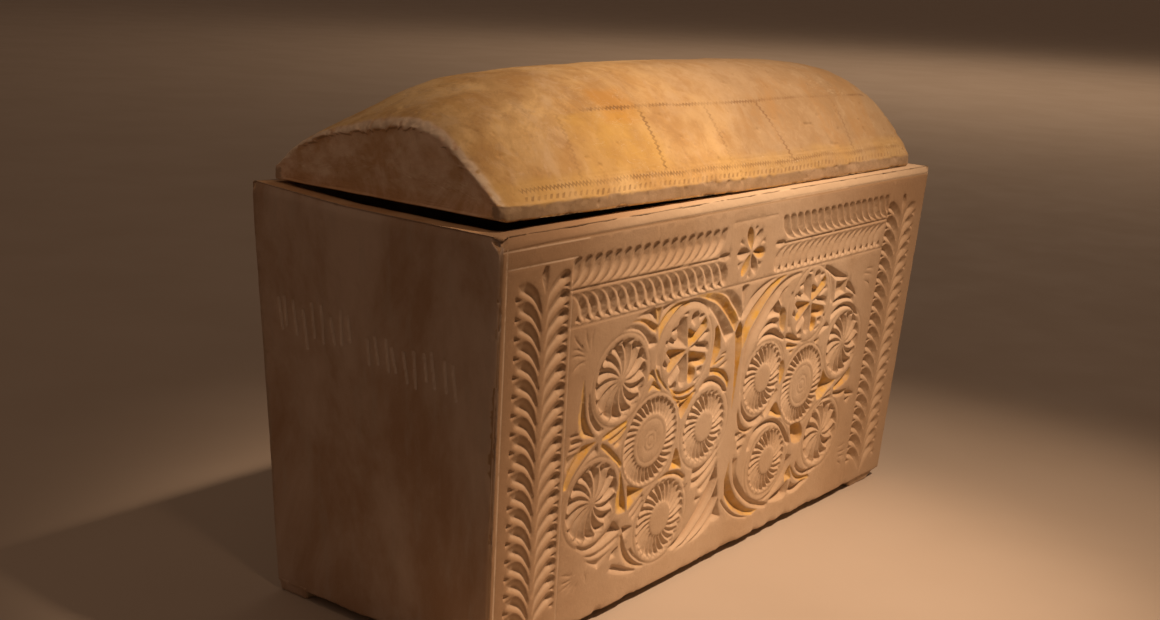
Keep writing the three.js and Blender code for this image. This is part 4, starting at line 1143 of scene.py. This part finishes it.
def chest_material():
    m = Nodes("chest_limestone")
    broad = m.noise(5.5, 5, 0.6)
    mid = m.noise(24, 6, 0.6)
    fine = m.noise(240, 5, 0.65)
    grain = m.noise(900, 3, 0.6)
    base = m.mix(m.ramp(broad, 0.35, 0.68), (0.62, 0.475, 0.335), (0.53, 0.38, 0.245))
    base = m.mix(m.math("MULTIPLY", m.ramp(mid, 0.5, 0.75), 0.35), base, (0.50, 0.36, 0.23))
    base = m.mix(m.math("MULTIPLY", m.ramp(m.noise(3.1, 6, 0.65, distortion=0.6), 0.52, 0.7), 0.35), base, (0.66, 0.53, 0.40))
    # the ends are darker and stained brown
    cloud = m.ramp(m.noise(6.5, 6, 0.62, stretch=(1, 1, 0.55), distortion=0.5), 0.40, 0.66)
    end_colour = m.mix(cloud, (0.60, 0.46, 0.355), (0.41, 0.255, 0.155))
    end_colour = m.mix(m.math("MULTIPLY", m.ramp(m.noise(60, 5, 0.7, stretch=(1, 1, 0.25)), 0.5, 0.7), 0.4), end_colour, (0.50, 0.40, 0.31))
    base = m.mix(m.attribute("end"), base, end_colour)
    base = m.mix(m.math("MULTIPLY", m.attribute("scratch"), 0.7), base, (0.76, 0.64, 0.53))
    # the rim is rubbed and reddish
    x = m.axis(m.place, 0)
    base = m.mix(m.math("MULTIPLY", m.attribute("rim"), m.ramp(x, -0.25, 0.05, 0.85, 0.15)), base,
                 m.mix(m.ramp(mid, 0.4, 0.6), (0.66, 0.42, 0.22), (0.55, 0.31, 0.14)))
    # the plain field darkens toward the left border
    z = m.axis(m.place, 2)
    cloudy = m.math("MULTIPLY", m.math("SUBTRACT", mid, 0.5), 0.10)
    xc = m.math("ADD", x, cloudy)
    zc = m.math("ADD", z, m.math("MULTIPLY", cloudy, 0.3))
    brown = m.ramp(xc, -0.362, -0.06, 1.0, 0.06)
    brown = m.math("MAXIMUM", brown, m.math("MULTIPLY", m.ramp(zc, 0.322, 0.343), m.ramp(xc, -0.33, -0.10, 1.0, 0.05)))
    brown = m.math("MAXIMUM", brown, m.math("MULTIPLY", m.ramp(zc, 0.26, 0.335), m.ramp(xc, 0.02, 0.26, 0.0, 0.85)))
    brown = m.math("MAXIMUM", brown, m.ramp(xc, 0.14, 0.29, 0.0, 0.6))
    brown = m.math("MULTIPLY", brown, m.ramp(m.attribute("hollow"), 0.05, 0.6, 1.0, 0.35))
    fore = m.ramp(m.axis(m.place, 1), -0.118, -0.108, 1.0, 0.0)
    fore = m.math("MULTIPLY", fore, m.ramp(m.attribute("end"), 0.3, 0.7, 1.0, 0.0))
    base = m.mix(m.math("MULTIPLY", brown, fore), base, (0.37, 0.235, 0.135))
    # the strip along the rim is rubbed pale and also a painted highlight where the rim and its worn edge catch the
    # light, and the border lines are scratched through the patina
    mm = m.math("ADD", m.math("MULTIPLY", x, 1000.0), HX)
    tt = m.math("MULTIPLY", m.math("SUBTRACT", RIM_Z, m.math("MULTIPLY", z, 1000.0)), FACE / BODY_H)
    strip = m.math("MULTIPLY", m.ramp(tt, 7.5, 9.5, 1.0, 0.0), m.ramp(xc, -0.30, -0.05, 0.0, 0.55))
    base = m.mix(m.math("MULTIPLY", strip, fore), base, (0.74, 0.60, 0.43))

    def scored(value, half, along, a, b):
        one = m.ramp(m.math("ABSOLUTE", value), half * 0.4, half * 1.3, 1.0, 0.0)
        one = m.math("MULTIPLY", one, m.ramp(along, a - 1, a + 1))
        return m.math("MULTIPLY", one, m.ramp(along, b - 1, b + 1, 1.0, 0.0))

    lines = scored(m.math("SUBTRACT", tt, 25.4), 0.8, mm, 8, 97)
    upright = m.math("SUBTRACT", m.math("SUBTRACT", mm, 8.0), m.math("MULTIPLY", tt, 0.0546))
    lines = m.math("MAXIMUM", lines, scored(upright, 0.8, tt, 9, 350))
    upright = m.math("SUBTRACT", m.math("SUBTRACT", mm, 89.4), m.math("MULTIPLY", tt, 0.0569))
    lines = m.math("MAXIMUM", lines, m.math("MULTIPLY", scored(upright, 0.7, tt, 25, 345), 0.5))
    lines = m.math("MAXIMUM", lines, m.math("MULTIPLY", scored(m.math("SUBTRACT", tt, 11.2), 0.8, mm, 4, 110), 0.8))
    lines = m.math("MULTIPLY", lines, m.ramp(m.noise(55, 4, 0.6), 0.32, 0.5, 0.35, 1.0))
    base = m.mix(m.math("MULTIPLY", m.math("MULTIPLY", lines, fore), 0.65), base, (0.78, 0.62, 0.46))
    # painted shade: a dark line along the upper border groove
    dark = scored(m.math("SUBTRACT", tt, 9.6), 0.8, mm, 90, 733)
    base = m.mix(m.math("MULTIPLY", m.math("MULTIPLY", dark, fore), 0.5), base, (0.30, 0.18, 0.09))
    # yellow ochre paint, worn through in places
    paint = m.attribute("ochre")
    worn = m.ramp(m.noise(85, 5, 0.65), 0.34, 0.58, 1.0, 0.45)
    paint = m.math("MULTIPLY", m.ramp(paint, 0.15, 0.75), worn)
    ochre = m.mix(m.ramp(mid, 0.4, 0.65), (0.70, 0.44, 0.10), (0.60, 0.33, 0.06))
    base = m.mix(paint, base, ochre)
    # painted shade deep in the cuts, darker the deeper they are
    deep = m.math("MULTIPLY", m.ramp(m.attribute("hollow"), 0.5, 1.0), 0.34)
    base = m.mix(deep, base, (0.36, 0.22, 0.12))
    # painted shade inside the chest
    base = m.mix(m.math("MULTIPLY", m.attribute("inside"), 0.55), base, (0.30, 0.21, 0.14))
    # specks
    base = m.mix(m.math("MULTIPLY", m.ramp(fine, 0.62, 0.78), 0.30), base, (0.36, 0.24, 0.15))
    base = m.mix(m.math("MULTIPLY", m.ramp(grain, 0.3, 0.42, 1.0, 0.0), 0.12), base, (0.74, 0.62, 0.48))
    rough = m.ramp(mid, 0.3, 0.7, 0.82, 0.95)
    n = m.bump(m.noise(48, 5, 0.6), 0.35, 0.0012)
    n = m.bump(fine, 0.45, 0.0006, n)
    n = m.bump(grain, 0.35, 0.00025, n)
    return m.finish(base, rough, n)


def lid_material():
    m = Nodes("lid_limestone")
    broad = m.noise(4.2, 5, 0.6)
    mid = m.noise(19, 6, 0.62)
    fine = m.noise(230, 5, 0.65)
    grain = m.noise(850, 3, 0.6)
    x = m.axis(m.place, 0)
    w = m.attribute("w")
    golden = m.mix(m.ramp(mid, 0.40, 0.60), (0.83, 0.60, 0.29), (0.65, 0.415, 0.165))
    pale = m.mix(m.ramp(mid, 0.40, 0.60), (0.44, 0.325, 0.20), (0.365, 0.255, 0.145))
    where = m.ramp(m.math("ADD", x, m.math("MULTIPLY", m.math("SUBTRACT", broad, 0.5), 0.5)), -0.12, 0.10)
    base = m.mix(where, golden, pale)
    # soft brown clouds and pale rubbed places
    base = m.mix(m.math("MULTIPLY", m.ramp(m.noise(6.5, 7, 0.66, distortion=0.9), 0.50, 0.64), 0.55), base, (0.46, 0.275, 0.11))
    base = m.mix(m.math("MULTIPLY", m.ramp(m.noise(11, 7, 0.7, distortion=0.5), 0.52, 0.66), 0.50), base, m.mix(where, (0.74, 0.57, 0.36), (0.55, 0.43, 0.28)))
    base = m.mix(m.math("MULTIPLY", m.ramp(m.noise(52, 7, 0.75, distortion=0.8), 0.50, 0.64), 0.36), base, m.mix(where, (0.74, 0.57, 0.37), (0.58, 0.455, 0.305)))
    base = m.mix(m.math("MULTIPLY", m.ramp(m.noise(38, 7, 0.75, distortion=0.6), 0.50, 0.62), 0.40), base, (0.44, 0.27, 0.12))
    base = m.mix(m.ramp(x, -0.34, -0.24, 0.12, 0.0), base, (0.50, 0.31, 0.14))
    base = m.mix(m.math("MULTIPLY", m.ramp(x, -0.26, -0.10), 0.30), base, (0.44, 0.295, 0.145))
    # yellow paint left in one panel of the front slope, and an orange spot above it
    edge = m.math("MULTIPLY", m.math("SUBTRACT", m.noise(26, 5, 0.6), 0.5), 0.05)
    xe = m.math("ADD", x, edge)
    we = m.math("ADD", w, m.math("MULTIPLY", edge, 0.8))
    patch = m.math("MULTIPLY", m.ramp(xe, -0.250, -0.205), m.ramp(xe, -0.135, -0.108, 1.0, 0.0))
    patch = m.math("MULTIPLY", patch, m.ramp(we, 0.075, 0.105))
    patch = m.math("MULTIPLY", patch, m.ramp(we, 0.262, 0.285, 1.0, 0.0))
    patch = m.math("MULTIPLY", patch, m.ramp(m.noise(17, 5, 0.6), 0.36, 0.6, 0.45, 1.0))
    base = m.mix(m.math("MULTIPLY", patch, 0.68), base, (0.70, 0.455, 0.115))
    spot = m.math("MULTIPLY", m.ramp(xe, -0.185, -0.165), m.ramp(xe, -0.135, -0.118, 1.0, 0.0))
    spot = m.math("MULTIPLY", spot, m.math("MULTIPLY", m.ramp(we, 0.22, 0.25), m.ramp(we, 0.335, 0.365, 1.0, 0.0)))
    base = m.mix(m.math("MULTIPLY", spot, 0.42), base, (0.62, 0.31, 0.05))
    low = m.math("MULTIPLY", m.ramp(we, 0.095, 0.12, 1.0, 0.0), m.ramp(m.noise(11, 5, 0.6), 0.36, 0.58, 0.25, 1.0))
    base = m.mix(m.math("MULTIPLY", low, 0.5), base, m.mix(where, (0.68, 0.45, 0.15), (0.55, 0.37, 0.135)))
    # zigzag lines and a border of small notches, with painted shade in their cuts
    mm = m.math("MULTIPLY", x, 1000.0)
    wm = m.math("MULTIPLY", w, 340.0)
    wave = m.math("MULTIPLY", m.math("SUBTRACT", m.noise(7, 3, 0.5), 0.5), 9.0)

    def zig(along, pitch, size):
        return m.math("MULTIPLY", m.math("SUBTRACT", m.math("PINGPONG", m.math("ADD", along, 4000.0), pitch / 2), pitch / 4), 4 * size / pitch)

    def near(value, half):
        return m.ramp(m.math("ABSOLUTE", value), half * 0.45, half * 1.25, 1.0, 0.0)

    def between(value, a, b, soft=3.0):
        return m.math("MULTIPLY", m.ramp(value, a - soft, a + soft), m.ramp(value, b - soft, b + soft, 1.0, 0.0))

    line = m.math("SUBTRACT", m.math("SUBTRACT", m.math("SUBTRACT", wm, 95.0), m.math("MULTIPLY", wave, 0.5)), zig(mm, 5.2, 1.2))
    marks = m.math("MULTIPLY", near(line, 1.5), between(mm, -196, 322))
    for top, foot, deep in ((-120, -126, 1.0), (-14, -17, 0.85), (80, 94, 0.9), (230, 224, 0.8), (-232, -246, 0.35)):
        at = m.math("ADD", m.math("MULTIPLY", m.math("SUBTRACT", wm, 30.0), (top - foot) / 58.0), float(foot))
        line = m.math("SUBTRACT", m.math("SUBTRACT", m.math("SUBTRACT", mm, at), m.math("MULTIPLY", wave, 0.5)), zig(wm, 5.0, 1.7))
        one = m.math("MULTIPLY", near(line, 1.9), between(wm, 31, 94))
        marks = m.math("MAXIMUM", marks, m.math("MULTIPLY", one, deep))
    line = m.math("SUBTRACT", m.math("SUBTRACT", wm, 26.6), zig(mm, 4.6, 1.7))
    marks = m.math("MAXIMUM", marks, m.math("MULTIPLY", m.math("MULTIPLY", near(line, 1.5), between(mm, -322, 330)), 1.0))
    slant = m.math("PINGPONG", m.math("ADD", m.math("ADD", mm, m.math("MULTIPLY", wm, -0.9)), 4000.0), 3.7)
    dash = m.math("MULTIPLY", m.ramp(slant, 1.0, 2.0, 1.0, 0.0), between(wm, 16.2, 20.8, 0.6))
    marks = m.math("MAXIMUM", marks, m.math("MULTIPLY", m.math("MULTIPLY", dash, between(mm, -322, 300)), 0.9))
    marks = m.math("MULTIPLY", marks, m.ramp(m.noise(42, 4, 0.6), 0.38, 0.58, 0.3, 1.0))
    marks = m.math("MULTIPLY", marks, m.ramp(m.noise(8, 3, 0.6), 0.36, 0.56, 0.4, 1.0))
    marks = m.math("MULTIPLY", marks, m.ramp(m.attribute("below"), 0.2, 0.6, 1.0, 0.0))
    # painted shade in the carved cuts and along the zigzag lines
    base = m.mix(m.math("MULTIPLY", m.attribute("cut"), 0.45), base, (0.24, 0.14, 0.07))
    base = m.mix(m.math("MULTIPLY", marks, 0.58), base, (0.20, 0.11, 0.05))
    # fine pale scratches
    scratch = m.noise(60, 3, 0.5, stretch=(0.35, 1.6, 1.6), distortion=1.2)
    scratch = m.math("MULTIPLY", m.ramp(m.math("ABSOLUTE", m.math("SUBTRACT", scratch, 0.5)), 0.0, 0.006, 1.0, 0.0),
                     m.ramp(m.noise(9, 4, 0.6), 0.5, 0.62))
    base = m.mix(m.math("MULTIPLY", scratch, 0.45), base, (0.86, 0.74, 0.54))
    ends = m.mix(m.ramp(m.noise(12, 6, 0.65, distortion=0.6), 0.38, 0.60), (0.90, 0.67, 0.49), (0.64, 0.385, 0.20))
    base = m.mix(m.attribute("end"), base, ends)
    side = m.mix(m.ramp(m.noise(30, 5, 0.65), 0.38, 0.62), (0.47, 0.35, 0.24), (0.36, 0.26, 0.17))
    base = m.mix(m.math("MULTIPLY", m.attribute("side"), 0.85), base, side)
    # the crest: pale broken stone, partly a painted highlight on its upward faces
    base = m.mix(m.math("MULTIPLY", m.attribute("crest"), 0.8), base, (0.88, 0.73, 0.55))
    # painted shade on the underside and in the hollow of the lid
    base = m.mix(m.math("MULTIPLY", m.attribute("below"), 0.6), base, (0.33, 0.23, 0.15))
    base = m.mix(m.math("MULTIPLY", m.ramp(fine, 0.6, 0.76), 0.38), base, (0.40, 0.25, 0.13))
    rough = m.ramp(mid, 0.3, 0.7, 0.78, 0.93)
    n = m.bump(m.noise(36, 6, 0.62), 0.45, 0.0016)
    n = m.bump(fine, 0.5, 0.0007, n)
    n = m.bump(grain, 0.35, 0.0003, n)
    n = m.bump(scratch, 0.3, 0.0004, n)
    n = m.bump(m.math("SUBTRACT", 1.0, marks), 0.5, 0.0008, n)
    return m.finish(base, rough, n)


def floor_material():
    m = Nodes("pale_floor")
    base = m.mix(m.ramp(m.noise(3, 3, 0.5), 0.35, 0.65), (0.43, 0.36, 0.29), (0.45, 0.38, 0.31))
    rough = m.ramp(m.noise(9, 3, 0.5), 0.3, 0.7, 0.75, 0.85)
    return m.finish(base, rough, m.bump(m.noise(400, 3, 0.5), 0.1, 0.0003), 0.2)


stone = chest_material()
stone_lid = lid_material()
for obj, node, slot, material in ((chest, "chest", "chest_stone", stone), (lid, "lid", "lid_stone", stone_lid)):
    obj.data.materials.clear()
    obj.data.materials.append(material)
    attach(obj, "root")
    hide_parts(node)
    cad = frame["nodes"][node]
    cad.data.materials.clear()
    cad.data.materials.append(material)

# ------------------------------------------------------------------ floor and light
floor_mesh = bpy.data.meshes.new("floor")
floor_mesh.from_pydata([(-300, -300, 0), (300, -300, 0), (300, 300, 0), (-300, 300, 0)], [], [(0, 1, 2, 3)])
floor = bpy.data.objects.new("floor", floor_mesh)
bpy.context.scene.collection.objects.link(floor)
floor.data.materials.append(floor_material())


def area(name, at, look, size, power, colour):
    data = bpy.data.lights.new(name, "AREA")
    data.shape = "SQUARE"
    data.size = size
    data.energy = power
    data.color = colour
    obj = bpy.data.objects.new(name, data)
    bpy.context.scene.collection.objects.link(obj)
    obj.location = at
    obj.rotation_mode = "QUATERNION"
    obj.rotation_quaternion = (Vector(look) - Vector(at)).to_track_quat("-Z", "Y")
    return obj


def spot(name, at, look, radius, power, colour, cone, blend):
    data = bpy.data.lights.new(name, "SPOT")
    data.shadow_soft_size = radius
    data.energy = power
    data.color = colour
    data.spot_size = math.radians(cone)
    data.spot_blend = blend
    obj = bpy.data.objects.new(name, data)
    bpy.context.scene.collection.objects.link(obj)
    obj.location = at
    obj.rotation_mode = "QUATERNION"
    obj.rotation_quaternion = (Vector(look) - Vector(at)).to_track_quat("-Z", "Y")
    return obj


KEY_AT = (0.48, -1.34, 2.62)
spot("key", KEY_AT, (0.14, -0.26, 0.15), 0.085, 175, (1.0, 0.69, 0.465), 29, 0.95)
spot("key_centre", KEY_AT, (-0.05, -0.22, 0.14), 0.085, 280, (1.0, 0.69, 0.465), 20.5, 1.0)
spot("second", (-0.85, -1.45, 2.70), (-0.05, 0, 0.2), 0.12, 13, (1.0, 0.64, 0.42), 60, 0.8)
area("wash", (7.4, 2.4, 3.2), (7.8, 2.1, 0), 5.5, 110, (1.0, 0.72, 0.50))
for lamp in bpy.context.scene.objects:
    if lamp.type == "LIGHT":
        lamp.visible_camera = False

world = bpy.data.worlds.new("room")
bpy.context.scene.world = world
world.use_nodes = True
back = world.node_tree.nodes.get("Background") or world.node_tree.nodes.new("ShaderNodeBackground")
back.inputs[0].default_value = (1.0, 0.65, 0.455, 1)
back.inputs[1].default_value = 0.125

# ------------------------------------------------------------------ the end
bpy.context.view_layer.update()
import json
